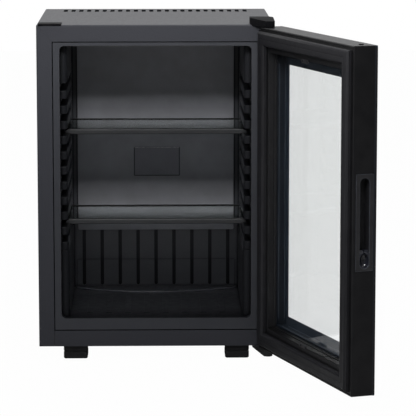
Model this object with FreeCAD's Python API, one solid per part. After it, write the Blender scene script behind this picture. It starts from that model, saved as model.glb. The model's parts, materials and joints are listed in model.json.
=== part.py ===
import FreeCAD, Part
import math
import os

# Minibar fridge with a glazed door, in millimetres.
# X runs to the viewer's right, Y into the cabinet and Z up.
# The origin is on the floor, under the middle of the cabinet's front face.

# Driving dimensions
cabinet_width = 400.0
cabinet_height = 549.0
cabinet_depth = 374.0
foot_height = 23.0
door_thickness = 40.0
door_stand_off = 9.0
door_bottom_gap = 0.5
door_top_gap = 2.1
door_open_angle = 108.5
opening_side_width = 38.5
opening_sill_height = 48.3
opening_head_height = 35.4
cavity_from_rear = 69.0
steel_sheet = 0.8
overrun = 5.0

# Outer shell
side_flange_width = 26.0
top_flange_width = 28.0
shell_bend_radius = 2.2
vent_slot_count = 24
vent_slot_side_margin = 38.54
vent_slot_width = 7.5
vent_slot_length = 48.0
vent_slot_rear_margin = 21.0
mitre_seam_width = 0.8
mitre_seam_depth = 0.4
top_rear_fold_height = 12.0

# Base panel, with its folded sill and rear edge
seam_gap = 0.5
sill_fold_height = 27.2
rear_fold_height = 15.0
base_rear_inset = 1.0

# Rear bulkhead, which slants forward under the vents
bulkhead_from_rear = 52.0
bulkhead_slant_run = 21.0
bulkhead_slant_height = 48.0

# Inner liner
liner_wall = 1.5
liner_face_setback = 0.4
liner_tuck_width = 6.0
cavity_corner_radius = 8.0
front_lip_depth = 6.0
front_lip_height = 2.3
guide_count = 12
guide_height_share = 0.55
guide_width = 11.5
guide_front = 30.0
guide_from_cavity_rear = 55.0
guide_edge_radius = 1.6
guide_nose_radius = 8.0
guide_top_below_ceiling = 52.0
guide_bottom_above_sill = 113.0
guide_stop_depth = 9.0
guide_stop_gap = 1.0
lower_side_setback = 1.0
rear_panel_side_margin = 13.5
rear_panel_bottom_above_floor = 4.0
rear_panel_height = 120.0
rear_panel_thickness = 3.5
relief_side_margin = 5.5
relief_height = 48.0
relief_thickness = 1.5
groove_count = 9
groove_side_margin = 11.7
groove_width = 6.0
groove_depth = 4.0
groove_bottom_above_floor = 5.0
ledge_side_margin = 14.5
ledge_height = 3.2
ledge_side_depth = 13.0
ledge_middle_depth = 59.0
ledge_edge_radius = 1.4
floor_rib_count = 8
floor_rib_width = 10.5
floor_rib_height = 0.8
floor_rib_front = 62.0
floor_rib_from_cavity_rear = 68.0
flute_count = 2
flute_width = 5.2
flute_pitch = 10.0
flute_depth = 2.0
flute_side_margin = 18.0

# Cold plate
cold_plate_side_margin = 20.5
cold_plate_thickness = 1.5
cold_plate_corner_radius = 3.0
cold_plate_from_cavity_rear = 15.0
cold_plate_bottom_above_floor = 108.5
cold_plate_top_gap = 8.6
cold_plate_side_start = 18.0
sensor_cover_width = 82.0
sensor_cover_height = 52.0
sensor_cover_thickness = 0.8
sensor_cover_above_plate = 99.3
sensor_cover_offset = 2.0
sensor_radius = 2.5
sensor_length = 60.0

# Shelves
upper_shelf_pitch_count = 4
lower_shelf_pitch_count = 10
shelf_glass_thickness = 4.0
shelf_glass_side_gap = 5.0
shelf_front = 72.0
shelf_rear_gap = 1.0
shelf_clearance = 0.2
rail_end_gap = 6.0
rail_side_gap = 2.0
front_rail_drop = 2.0
front_rail_height = 8.8
front_rail_depth = 10.0
front_rail_nose = 1.8
rail_end_height = 3.5
rail_taper = 8.0
rear_rail_drop = 1.5
rear_rail_height = 6.5
rear_rail_depth = 7.0
rail_cover = 1.8

# Hinges
hinge_pin_from_edge = 10.0
hinge_pin_from_inner_face = 13.0
hinge_pin_radius = 3.5
hinge_pin_running_gap = 0.05
hinge_pin_reach = 14.0
hinge_pin_head_radius = 6.0
hinge_pin_head_height = 2.0
bush_radius = 5.0
bush_depth = 16.0
bush_flange_radius = 6.5
bush_flange_height = 2.0
bush_face_gap = 0.1
bracket_thickness = 3.0
bracket_left_from_side = 38.0
bracket_right_from_side = 3.0
bracket_tip_reach = 36.0
bracket_tip_from_side = 17.0
bracket_rear = 34.0
bracket_rear_chamfer = 6.0
lower_bracket_rear = 55.0
lower_bracket_left_from_side = 36.0
lower_bracket_skirt_height = 8.4
lower_bracket_skirt_thickness = 2.0
lower_bracket_skirt_taper = 34.0
lower_pin_boss_radius = 4.8
lower_pin_head_radius = 6.8
lower_pin_head_height = 2.4
lower_pin_head_rounding = 1.6
cover_height = 11.0
cover_wall = 1.5
cover_left_from_side = 41.0
cover_right_from_side = 1.5
cover_tip_reach = 42.0
cover_tip_from_side = 16.0
cover_rear = 38.0
cover_rear_chamfer = 6.0
cover_front_drop = 2.5
cover_skirt_drop = 1.4
cover_skirt_start = 0.5
blanking_width = 39.0
blanking_from_side = 3.0
blanking_depth = 36.0
blanking_thickness = 1.7
blanking_lip_drop = 1.5
blanking_lip_thickness = 1.2
screw_shank_radius = 1.9
screw_shank_length = 11.0
screw_head_radius = 3.6
screw_head_height = 2.4
screw_hole_gap = 0.1
hinge_screw_spacing_x = 18.0
hinge_screw_spacing_y = 16.0
hinge_screw_from_side = 14.0
hinge_screw_front = 9.0
lower_screw_front = 20.0
lower_screw_spacing_x = 12.0

# Feet
foot_width = 41.0
foot_depth = 41.0
foot_corner_radius = 4.0
foot_side_setback = 41.5
foot_front_setback = 6.0
foot_pad_height = 11.5
foot_neck_height = 3.0
foot_neck_inset = 1.6
foot_pad_edge_radius = 3.0
foot_screw_radius = 2.5
foot_screw_length = 22.0
foot_screw_head_radius = 5.0
foot_screw_head_height = 3.0
foot_screw_recess = 6.0
foot_screw_recess_radius = 6.5

# Cooling unit, which circulates refrigerant by heat alone
unit_from_rear = 26.0
boiler_from_side = 50.0
boiler_radius = 12.0
boiler_bottom = 110.0
boiler_top_below_condenser = 128.0
casing_width = 52.0
casing_depth = 46.0
casing_bottom = 125.0
casing_below_boiler_top = 55.0
heater_radius = 4.5
heater_gap = 0.2
heater_bottom = 140.0
heater_below_casing_top = 83.0
pipe_radius = 7.0
pipe_bend = 14.0
condenser_radius = 8.0
condenser_bend = 18.0
condenser_below_top = 44.0
evaporator_radius = 6.0
evaporator_bend = 12.0
evaporator_start_drop = 28.0
evaporator_upper_drop = 58.0
evaporator_lower_drop = 103.0
evaporator_end_drop = 128.0
evaporator_left_from_side = 105.0
evaporator_right_from_side = 100.0
fin_count = 24
fin_left_margin = 25.0
fin_right_margin = 36.0
fin_thickness = 0.8
fin_depth = 40.0
fin_height = 34.0
exchanger_radius = 11.0
exchanger_bottom = 260.0
vessel_radius = 22.0
vessel_left_from_side = 80.0
vessel_right_from_side = 140.0
vessel_height = 85.0
vessel_end_radius = 6.0
coil_outer_right_from_side = 130.0
coil_inner_left_from_side = 140.0
coil_inner_right_from_side = 160.0
coil_heights = (230.0, 190.0, 150.0)
clamp_width = 20.0
clamp_thickness = 1.5
clamp_height = 22.0
clamp_from_tube_end = 35.0
plug_width = 34.0
plug_margin = 18.0
strap_height = 18.0
strap_thickness = 1.5
strap_tab_depth = 22.0
upper_strap_above_control = 54.0

# Electrical parts
control_from_side = 14.0
control_width = 58.0
control_bottom = 150.0
control_height = 96.0
control_depth = 42.0
control_wall = 2.0
control_edge_radius = 3.0
dial_radius = 13.0
dial_height = 6.0
dial_spindle_radius = 3.0
dial_spindle_length = 8.0
dial_gap = 0.4
dial_grip_width = 4.0
dial_grip_height = 2.0
dial_above_control_bottom = 68.0
inlet_width = 28.0
inlet_height = 20.0
inlet_depth = 16.0
inlet_wall = 2.0
inlet_flange = 3.0
inlet_flange_thickness = 1.6
inlet_pin_width = 2.0
inlet_pin_height = 4.5
inlet_pin_spacing = 7.0
inlet_above_control_bottom = 22.0
lead_radius = 2.5
lead_from_bulkhead = 6.5
lead_above_control_bottom = 65.0

# Door
door_edge_radius = 1.6
outer_glass_thickness = 4.0
inner_glass_thickness = 4.0
border_thickness = 0.3
border_side_width = 50.6
border_end_width = 60.5
glass_corner_radius = 3.0
inner_glass_depth = 16.0
inner_glass_side_inset = 30.0
inner_glass_end_inset = 38.0
glazing_gap = 0.2
spacer_side_inset = 31.0
spacer_end_inset = 39.0
spacer_width = 6.0
glazing_side_inset = 32.0
glazing_end_inset = 31.0
glazing_side_flat = 4.0
glazing_end_flat = 9.0
glazing_side_slope = 3.5
glazing_end_slope = 3.0
glazing_setback = 1.0
core_wall = 3.0
gasket_side_inset = 8.0
gasket_end_inset = 7.0
gasket_width = 23.5
gasket_height = 8.6
gasket_bevel = 3.6
magnet_width = 10.0
magnet_height = 3.0
magnet_wall = 2.4
frame_groove_inset = 3.0
frame_groove_width = 1.2
frame_groove_depth = 1.5
clip_width = 27.0
clip_height = 6.0
clip_overhang = 4.0
clip_screw_radius = 2.2
clip_screw_height = 1.6
clip_screw_spacing = 21.0
plug_radius = 3.0
plug_depth = 4.0
plug_head_radius = 3.8
plug_head_height = 1.2
plug_from_edge = 19.0
plug_from_inner_face = 20.0

# Door handle, set in the free edge
handle_bottom = 198.1
handle_height = 151.4
handle_width = 29.6
handle_from_inner_face = 5.6
handle_plate_thickness = 2.0
handle_fit_gap = 0.2
handle_corner_radius = 1.5
slot_width = 15.9
slot_above_handle_bottom = 4.1
slot_length = 141.1
slot_depth = 18.0
cup_wall = 1.6
cup_rib_width = 1.2
cup_rib_height = 1.2
end_plug_height = 28.3
end_plug_slope = 5.0
end_plug_setback = 0.6
scoop_depth = 8.0
scoop_width = 14.8
scoop_height = 23.4
scoop_above_slot_end = 12.5

# Places worked out from the driving dimensions
half_width = cabinet_width / 2
body_bottom = foot_height
body_top = body_bottom + cabinet_height
inner_bottom = body_bottom + steel_sheet
inner_top = body_top - steel_sheet
inner_half_width = half_width - steel_sheet
opening_half_width = half_width - opening_side_width
opening_bottom = body_bottom + opening_sill_height
opening_top = body_top - opening_head_height
cavity_floor = opening_bottom - front_lip_height
cavity_depth = cabinet_depth - cavity_from_rear
vent_slot_pitch = (cabinet_width - vent_slot_side_margin * 2) / (vent_slot_count - 1)
bulkhead_front = cabinet_depth - bulkhead_from_rear
bulkhead_top_front = bulkhead_front - bulkhead_slant_run
bulkhead_knee = inner_top - bulkhead_slant_height
unit_y = cabinet_depth - unit_from_rear
guide_top = opening_top - guide_top_below_ceiling
ladder_bottom = opening_bottom + guide_bottom_above_sill
guide_pitch = (guide_top - ladder_bottom) / (guide_count - 1 + guide_height_share)
guide_height = guide_pitch * guide_height_share
guide_face_x = opening_half_width - guide_width
guide_rear = cavity_depth - guide_from_cavity_rear
rear_panel_half_width = opening_half_width - rear_panel_side_margin
relief_half_width = rear_panel_half_width - relief_side_margin
groove_pitch = (relief_half_width - groove_side_margin) * 2 / (groove_count - 1)
floor_rib_rear = cavity_depth - floor_rib_from_cavity_rear
flute_from_middle = opening_half_width - flute_side_margin
cold_plate_front = cavity_depth - cold_plate_from_cavity_rear
cold_plate_half_width = opening_half_width - cold_plate_side_margin
shelf_rear = guide_rear - shelf_rear_gap
shelf_glass_half_width = opening_half_width - shelf_glass_side_gap
rail_half_length = opening_half_width - rail_end_gap
door_inner_face = -door_stand_off
door_outer_face = door_inner_face - door_thickness
door_bottom = body_bottom + door_bottom_gap
door_top = body_top - door_top_gap
frame_thickness = door_thickness - outer_glass_thickness - border_thickness
hinge_x = half_width - hinge_pin_from_edge
hinge_y = door_inner_face - hinge_pin_from_inner_face
foot_outer = half_width - foot_side_setback
foot_from_middle = foot_outer - foot_width
boiler_x = half_width - boiler_from_side
condenser_height = body_top - condenser_below_top
boiler_top = condenser_height - boiler_top_below_condenser
casing_top = boiler_top - casing_below_boiler_top
heater_top = casing_top - heater_below_casing_top
upper_strap_height = control_bottom + control_height + upper_strap_above_control
evaporator_start = condenser_height - evaporator_start_drop
evaporator_upper = condenser_height - evaporator_upper_drop
evaporator_lower = condenser_height - evaporator_lower_drop
evaporator_end = condenser_height - evaporator_end_drop
evaporator_left = -half_width + evaporator_left_from_side
evaporator_right = half_width - evaporator_right_from_side
fin_start = evaporator_left + fin_left_margin
fin_pitch = (boiler_x - fin_right_margin - fin_start) / (fin_count - 1)
vessel_left = -half_width + vessel_left_from_side
vessel_right = half_width - vessel_right_from_side
coil_outer_right = half_width - coil_outer_right_from_side
coil_inner_left = -half_width + coil_inner_left_from_side
coil_inner_right = half_width - coil_inner_right_from_side
control_left = -half_width + control_from_side
lead_height = control_bottom + lead_above_control_bottom
foot_rear_front = cabinet_depth - foot_front_setback - foot_depth

nodes = {}


def vector(x, y, z):
    return FreeCAD.Vector(x, y, z)


def box(x0, x1, y0, y1, z0, z1):
    return Part.makeBox(x1 - x0, y1 - y0, z1 - z0, vector(x0, y0, z0))


def round_x(y, z, x0, x1, radius):
    return Part.makeCylinder(radius, x1 - x0, vector(x0, y, z), vector(1, 0, 0))


def round_y(x, z, y0, y1, radius):
    return Part.makeCylinder(radius, y1 - y0, vector(x, y0, z), vector(0, 1, 0))


def round_z(x, y, z0, z1, radius):
    return Part.makeCylinder(radius, z1 - z0, vector(x, y, z0), vector(0, 0, 1))


def prism(points, direction):
    """Extrude the closed outline through the points along the direction."""
    outline = Part.makePolygon(points + [points[0]])
    return Part.Face(outline).extrude(direction)


def plate_z(corners, z0, z1):
    return prism([vector(x, y, z0) for x, y in corners], vector(0, 0, z1 - z0))


def profile_x(corners, x0, x1):
    return prism([vector(x0, y, z) for y, z in corners], vector(x1 - x0, 0, 0))


def profile_y(corners, y0, y1):
    return prism([vector(x, y0, z) for x, z in corners], vector(0, y1 - y0, 0))


def edges_along(shape, direction, test=None):
    """Straight edges of the shape along one axis, kept where test(middle) holds."""
    found = []
    for edge in shape.Edges:
        if edge.Curve.TypeId != "Part::GeomLine":
            continue
        ends = [vertex.Point for vertex in edge.Vertexes]
        along = (ends[1] - ends[0]).normalize()
        if abs(along.dot(direction)) < 0.999:
            continue
        if test is None or test((ends[0] + ends[1]) * 0.5):
            found.append(edge)
    return found


def rounded_opening(x0, x1, y0, y1, z0, z1, radius):
    """A box whose four edges along Y are rounded."""
    block = box(x0, x1, y0, y1, z0, z1)
    return block.makeFillet(radius, edges_along(block, vector(0, 1, 0)))


def stadium_x(y, z0, z1, width, x0, x1):
    """An upright slot shape with round ends, running along X."""
    radius = width / 2
    middle = box(x0, x1, y - radius, y + radius, z0 + radius, z1 - radius)
    ends = [round_x(y, z0 + radius, x0, x1, radius), round_x(y, z1 - radius, x0, x1, radius)]
    return middle.multiFuse(ends).removeSplitter()


def ring_y(outer, inner, y0, y1):
    """A rectangular ring in the XZ plane, from (x half, z low, z high) outside and inside."""
    body = box(-outer[0], outer[0], y0, y1, outer[1], outer[2])
    hole = box(-inner[0], inner[0], y0 - overrun, y1 + overrun, inner[1], inner[2])
    return body.cut(hole)


def inset(side, end):
    """The door's outline, drawn in by one distance at its sides and another at its ends."""
    return (half_width - side, door_bottom + end, door_top - end)


def tube(points, radius, bend):
    """A round bar along straight runs that are joined by tangent arcs."""
    places = [vector(*point) for point in points]
    edges = []
    start = places[0]
    for before, corner, after in zip(places, places[1:], places[2:]):
        back = (before - corner).normalize()
        onward = (after - corner).normalize()
        half_angle = back.getAngle(onward) / 2
        setback = bend / math.tan(half_angle)
        centre = corner + (back + onward).normalize() * (bend / math.sin(half_angle))
        middle = centre + (corner - centre).normalize() * bend
        first = corner + back * setback
        last = corner + onward * setback
        edges.append(Part.LineSegment(start, first).toShape())
        edges.append(Part.Arc(first, middle, last).toShape())
        start = last
    edges.append(Part.LineSegment(start, places[-1]).toShape())
    circle = Part.makeCircle(radius, places[0], places[1] - places[0])
    return Part.Wire(edges).makePipeShell([Part.Wire(circle)], True, False)


def pan_screw_down(x, y, z):
    """A pan-head screw whose head stands on z and whose shank points down."""
    head = round_z(x, y, z, z + screw_head_height, screw_head_radius)
    head = head.makeFillet(screw_head_height / 2, [head.Edges[0]])
    return head.fuse(round_z(x, y, z - screw_shank_length, z, screw_shank_radius))


def pan_screw_up(x, y, z):
    """A pan-head screw whose head hangs under z and whose shank points up."""
    screw = pan_screw_down(x, y, z)
    return screw.mirror(vector(0, 0, z), vector(0, 0, 1))


def keep(name, shape):
    nodes[name] = shape.removeSplitter() if shape.ShapeType == "Solid" else shape


def keep_group(name, shapes):
    nodes[name] = Part.makeCompound(shapes)


def keep_on_door(name, shape):
    """Door pieces are drawn with the door shut, then swung open about the hinge pins."""
    shape.rotate(vector(hinge_x, hinge_y, 0), vector(0, 0, 1), door_open_angle)
    nodes[name] = shape


# Cabinet


def bent_case(x_half, y0, y1, z0, z1, radius):
    """A box whose front edges and long top edges are rounded like bent sheet."""
    case = box(-x_half, x_half, y0, y1, z0, z1)
    front_sides = edges_along(case, vector(0, 0, 1), lambda p: p.y < y0 + radius)
    front_top = edges_along(case, vector(1, 0, 0), lambda p: p.y < y0 + radius and p.z > z1 - radius)
    top_sides = edges_along(case, vector(0, 1, 0), lambda p: p.z > z1 - radius)
    return case.makeFillet(radius, front_sides + front_top + top_sides)


def vent_slots():
    first = -vent_slot_pitch * (vent_slot_count - 1) / 2
    rear = cabinet_depth - vent_slot_rear_margin
    radius = vent_slot_width / 2
    slots = []
    for number in range(vent_slot_count):
        x = first + number * vent_slot_pitch
        y0 = rear - vent_slot_length + radius
        y1 = rear - radius
        z0 = inner_top - overrun
        z1 = body_top + overrun
        middle = box(x - radius, x + radius, y0, y1, z0, z1)
        slots.append(middle.multiFuse([round_z(x, y0, z0, z1, radius), round_z(x, y1, z0, z1, radius)]))
    return slots


def screw_places(front, spacing_x):
    """Plan positions of the four screws of one hinge bracket."""
    outer = half_width - hinge_screw_from_side
    rear = front + hinge_screw_spacing_y
    return [(outer - spacing_x, front), (outer, front), (outer - spacing_x, rear), (outer, rear)]


def upper_screw_places():
    return screw_places(hinge_screw_front, hinge_screw_spacing_x)


def lower_screw_places():
    return screw_places(lower_screw_front, lower_screw_spacing_x)


def screw_holes(places, z0, z1):
    radius = screw_shank_radius + screw_hole_gap
    return [round_z(x, y, z0, z1, radius) for x, y in places]


def mitre_seams():
    """Shallow seams where the side flanges meet the top flange, from corner to corner."""
    across = vector(mitre_seam_width / 2, 0, 0)
    run = vector(side_flange_width, 0, top_flange_width)
    corner = vector(half_width, -overrun, body_top)
    outer = corner + run
    inner = corner - run * 2
    outline = [outer - across, outer + across, inner + across, inner - across]
    right = prism(outline, vector(0, mitre_seam_depth + overrun, 0))
    return [right, right.mirror(vector(0, 0, 0), vector(1, 0, 0))]


def outer_shell():
    case = bent_case(half_width, 0, cabinet_depth, body_bottom, body_top, shell_bend_radius)
    inside = bent_case(
        inner_half_width,
        steel_sheet,
        cabinet_depth + overrun,
        body_bottom - overrun,
        inner_top,
        shell_bend_radius - steel_sheet,
    )
    rear_fold = box(
        -inner_half_width,
        inner_half_width,
        cabinet_depth - steel_sheet,
        cabinet_depth,
        inner_top - top_rear_fold_height,
        inner_top + steel_sheet / 2,
    )
    shell = case.cut(inside).fuse(rear_fold).removeSplitter()
    front_x = half_width - side_flange_width
    front_top = body_top - top_flange_width
    mouth = box(-front_x, front_x, -overrun, overrun, body_bottom - overrun, front_top)
    holes = screw_holes(upper_screw_places(), inner_top - overrun, body_top + overrun)
    return shell.cut([mouth] + vent_slots() + mitre_seams() + holes)


def foot_places():
    """Left edge and front edge of each foot."""
    return [(x, y) for y in (foot_front_setback, foot_rear_front) for x in (-foot_outer, foot_from_middle)]


def foot_centres():
    return [(x + foot_width / 2, y + foot_depth / 2) for x, y in foot_places()]


def base_panel():
    base_rear = cabinet_depth - base_rear_inset
    floor = box(-inner_half_width, inner_half_width, steel_sheet, base_rear, body_bottom, inner_bottom)
    sill_x = half_width - side_flange_width - seam_gap
    sill = box(-sill_x, sill_x, 0, steel_sheet, body_bottom, body_bottom + sill_fold_height)
    rear_fold = box(
        -inner_half_width,
        inner_half_width,
        base_rear - steel_sheet,
        base_rear,
        body_bottom,
        body_bottom + rear_fold_height,
    )
    panel = floor.multiFuse([sill, rear_fold])
    hinge_holes = screw_holes(lower_screw_places(), body_bottom - overrun, inner_bottom + overrun)
    radius = foot_screw_radius + screw_hole_gap
    foot_holes = [
        round_z(x, y, body_bottom - overrun, inner_bottom + overrun, radius) for x, y in foot_centres()
    ]
    return panel.cut(hinge_holes + foot_holes)


def evaporator_plug_block():
    x0 = evaporator_left - plug_width / 2
    x1 = evaporator_left + plug_width / 2
    z0 = evaporator_lower - plug_margin
    z1 = evaporator_upper + plug_margin
    return box(x0, x1, cavity_depth, bulkhead_front + steel_sheet, z0, z1)


def rear_bulkhead():
    outline = [
        (bulkhead_front, inner_bottom),
        (bulkhead_front + steel_sheet, inner_bottom),
        (bulkhead_front + steel_sheet, bulkhead_knee),
        (bulkhead_top_front + steel_sheet, inner_top),
        (bulkhead_top_front, inner_top),
        (bulkhead_front, bulkhead_knee),
    ]
    sheet = profile_x(outline, -inner_half_width, inner_half_width)
    return sheet.cut(evaporator_plug_block())


def liner_outside(y0, y1):
    return rounded_opening(
        -opening_half_width - liner_wall,
        opening_half_width + liner_wall,
        y0,
        y1,
        cavity_floor - liner_wall,
        opening_top + liner_wall,
        cavity_corner_radius + liner_wall,
    )


def liner_flange():
    """The front flange, with a thinner rim tucked behind the steel flanges and the sill."""
    flange_x = half_width - side_flange_width - seam_gap
    bottom = body_bottom + sill_fold_height + seam_gap
    top = body_top - top_flange_width - seam_gap
    rear = liner_face_setback + liner_wall
    face = box(-flange_x, flange_x, liner_face_setback, rear, bottom, top)
    rim_x = flange_x + liner_tuck_width
    rim = box(-rim_x, rim_x, steel_sheet, rear, bottom - liner_tuck_width, top + liner_tuck_width)
    return face.fuse(rim)


def side_block(face_x, rear, z0, z1):
    """A block on the right side wall with a rounded nose and, inside the cavity, rounded rims."""
    block = box(face_x, opening_half_width + liner_wall / 2, guide_front, rear, z0, z1)
    nose = edges_along(
        block,
        vector(0, 0, 1),
        lambda p: p.y < guide_front + guide_nose_radius and p.x < face_x + guide_edge_radius,
    )
    block = block.makeFillet(guide_nose_radius, nose)
    rims = edges_along(
        block,
        vector(0, 1, 0),
        lambda p: p.x < face_x + guide_edge_radius and cavity_floor < p.z < opening_top,
    )
    return block.makeFillet(guide_edge_radius, rims)


def shelf_guides():
    """Two ladders of rounded runners that the shelves slide between, with a stop behind them.
    The top runner is thicker and reaches up to the ceiling."""
    guides = []
    for number in range(guide_count):
        z1 = guide_top - number * guide_pitch
        z0 = z1 - guide_height
        if number == 0:
            z1 = opening_top + liner_wall / 2
        right = side_block(guide_face_x, guide_rear, z0, z1)
        guides.append(right)
        guides.append(right.mirror(vector(0, 0, 0), vector(1, 0, 0)))
    stop_front = guide_rear + guide_stop_gap
    stop = box(
        guide_face_x,
        opening_half_width + liner_wall / 2,
        stop_front - guide_stop_gap,
        stop_front + guide_stop_depth,
        ladder_bottom,
        guide_top,
    )
    guides.append(stop)
    guides.append(stop.mirror(vector(0, 0, 0), vector(1, 0, 0)))
    return guides


def lower_side_panels():
    """The thicker side walls between the lowest runners and the floor."""
    face_x = guide_face_x - lower_side_setback
    right = side_block(face_x, cavity_depth + liner_wall / 2, cavity_floor - liner_wall / 2, ladder_bottom)
    return [right, right.mirror(vector(0, 0, 0), vector(1, 0, 0))]


def rear_grooved_panel():
    """The raised field at the foot of the rear wall, with upright round-ended grooves."""
    bottom = cavity_floor + rear_panel_bottom_above_floor
    face = cavity_depth - rear_panel_thickness
    field = box(
        -rear_panel_half_width,
        rear_panel_half_width,
        face,
        cavity_depth + liner_wall / 2,
        cavity_floor - liner_wall / 2,
        bottom + rear_panel_height,
    )
    relief = box(
        -relief_half_width,
        relief_half_width,
        face - relief_thickness,
        cavity_depth,
        cavity_floor - liner_wall / 2,
        bottom + relief_height,
    )
    grooves = []
    radius = groove_width / 2
    groove_end = face - relief_thickness + groove_depth
    groove_low = cavity_floor + groove_bottom_above_floor + radius
    for number in range(groove_count):
        x = (number - (groove_count - 1) / 2) * groove_pitch
        top = bottom + rear_panel_height + overrun
        grooves.append(box(x - radius, x + radius, face - overrun, groove_end, groove_low, top))
        grooves.append(round_y(x, groove_low, face - overrun, groove_end, radius))
    return field.fuse(relief).cut(grooves)


def rear_ledge():
    """The low step in front of the rear wall, whose front edge bows towards the viewer."""
    half = opening_half_width - ledge_side_margin
    z0 = cavity_floor - liner_wall / 2
    z1 = cavity_floor + ledge_height
    side_y = cavity_depth - ledge_side_depth
    left = vector(-half, side_y, z0)
    middle = vector(0, cavity_depth - ledge_middle_depth, z0)
    right = vector(half, side_y, z0)
    rear_right = vector(half, cavity_depth, z0)
    rear_left = vector(-half, cavity_depth, z0)
    front = Part.Arc(left, middle, right).toShape()
    others = [
        Part.LineSegment(right, rear_right).toShape(),
        Part.LineSegment(rear_right, rear_left).toShape(),
        Part.LineSegment(rear_left, left).toShape(),
    ]
    step = Part.Face(Part.Wire([front] + others)).extrude(vector(0, 0, z1 - z0))
    rim = [
        edge
        for edge in step.Edges
        if edge.Curve.TypeId == "Part::GeomCircle" and edge.CenterOfMass.z > z1 - ledge_edge_radius
    ]
    return step.makeFillet(ledge_edge_radius, rim)


def floor_ribs():
    ribs = []
    for number in range(floor_rib_count):
        x = (number - (floor_rib_count - 1) / 2) * groove_pitch
        half = floor_rib_width / 2
        z0 = cavity_floor - liner_wall / 2
        z1 = cavity_floor + floor_rib_height
        rib = box(x - half, x + half, floor_rib_front, floor_rib_rear, z0, z1)
        top = edges_along(rib, vector(0, 1, 0), lambda p: p.z > cavity_floor)
        ribs.append(rib.makeChamfer(floor_rib_height / 2, top))
    return ribs


def corner_flutes():
    """Upright flutes on the rear wall, between the cold plate and each side wall."""
    flutes = []
    for number in range(flute_count):
        x0 = flute_from_middle + number * flute_pitch
        right = box(
            x0,
            x0 + flute_width,
            cavity_depth - flute_depth,
            cavity_depth + liner_wall / 2,
            cavity_floor + rear_panel_height,
            opening_top + liner_wall / 2,
        )
        flutes.append(right)
        flutes.append(right.mirror(vector(0, 0, 0), vector(1, 0, 0)))
    return flutes


def inner_liner():
    tub = liner_outside(liner_face_setback, cavity_depth + liner_wall)
    tub = tub.fuse(liner_flange())
    throat = rounded_opening(
        -opening_half_width,
        opening_half_width,
        -overrun,
        front_lip_depth + overrun,
        opening_bottom,
        opening_top,
        cavity_corner_radius,
    )
    cavity = rounded_opening(
        -opening_half_width,
        opening_half_width,
        front_lip_depth,
        cavity_depth,
        cavity_floor,
        opening_top,
        cavity_corner_radius,
    )
    tub = tub.cut([throat, cavity])
    details = shelf_guides() + lower_side_panels() + [rear_grooved_panel(), rear_ledge()]
    details += floor_ribs() + corner_flutes()
    outside = liner_outside(liner_face_setback, cavity_depth + liner_wall)
    tub = tub.multiFuse([detail.common(outside) for detail in details])
    return tub.cut(evaporator_plug_block())


def cold_plate():
    z0 = cavity_floor + cold_plate_bottom_above_floor
    z1 = opening_top - cold_plate_top_gap
    half = cold_plate_half_width
    rear = cold_plate_front + cold_plate_thickness
    face = box(-half, half, cold_plate_front, rear, z0, z1)
    sides = [
        box(-half, -half + cold_plate_thickness, rear, cavity_depth, z0 + cold_plate_side_start, z1),
        box(half - cold_plate_thickness, half, rear, cavity_depth, z0 + cold_plate_side_start, z1),
    ]
    plate = face.multiFuse(sides)
    corners = edges_along(plate, vector(0, 1, 0), lambda p: p.z < z0 + seam_gap)
    plate = plate.makeFillet(cold_plate_corner_radius, corners)
    front = edges_along(plate, vector(0, 0, 1), lambda p: p.y < cold_plate_front + seam_gap)
    return plate.makeFillet(cold_plate_thickness / 2, front)


def sensor_cover_bottom():
    return cavity_floor + cold_plate_bottom_above_floor + sensor_cover_above_plate


def sensor_cover():
    """A shallow raised plate on the cold plate, in front of the temperature sensor."""
    z0 = sensor_cover_bottom()
    half = sensor_cover_width / 2
    front = cold_plate_front - sensor_cover_thickness
    plate = rounded_opening(
        sensor_cover_offset - half,
        sensor_cover_offset + half,
        front,
        cold_plate_front,
        z0,
        z0 + sensor_cover_height,
        sensor_cover_thickness,
    )
    rim = [edge for edge in plate.Edges if edge.BoundBox.YMax < front + sensor_cover_thickness / 2]
    return plate.makeChamfer(sensor_cover_thickness / 2, rim)


def temperature_sensor():
    """The thermostat's sensing bulb, which lies along the back of the cold plate."""
    y = cold_plate_front + cold_plate_thickness + sensor_radius
    z = sensor_cover_bottom() + sensor_cover_height / 2
    half = sensor_length / 2
    return round_x(y, z, sensor_cover_offset - half, sensor_cover_offset + half, sensor_radius)


# Hinges


def bracket_outline(left_from_side, rear, rear_chamfer):
    """The plan of a hinge bracket, which narrows to its tip in front of the cabinet."""
    left = half_width - left_from_side
    right = half_width - bracket_right_from_side
    tip_left = half_width - bracket_tip_from_side
    corner = (right - tip_left) / 4
    points = [
        (left, rear),
        (left, steel_sheet),
        (tip_left, -bracket_tip_reach),
        (right - corner, -bracket_tip_reach),
        (right, -bracket_tip_reach + corner),
    ]
    if rear_chamfer > 0:
        return points + [(right, rear - rear_chamfer * 2), (right - rear_chamfer, rear)]
    return points + [(right, rear)]


def upper_hinge_bracket():
    outline = bracket_outline(bracket_left_from_side, bracket_rear, bracket_rear_chamfer)
    plate = plate_z(outline, body_top, body_top + bracket_thickness)
    holes = screw_holes(upper_screw_places(), body_top - overrun, body_top + bracket_thickness + overrun)
    pin_hole = round_z(hinge_x, hinge_y, body_top - overrun, body_top + cover_height, hinge_pin_radius)
    return plate.cut(holes + [pin_hole])


def upper_hinge_pin():
    head_bottom = body_top + bracket_thickness
    head = round_z(hinge_x, hinge_y, head_bottom, head_bottom + hinge_pin_head_height, hinge_pin_head_radius)
    shank = round_z(hinge_x, hinge_y, door_top - hinge_pin_reach, head_bottom, hinge_pin_radius)
    return head.fuse(shank)


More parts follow.
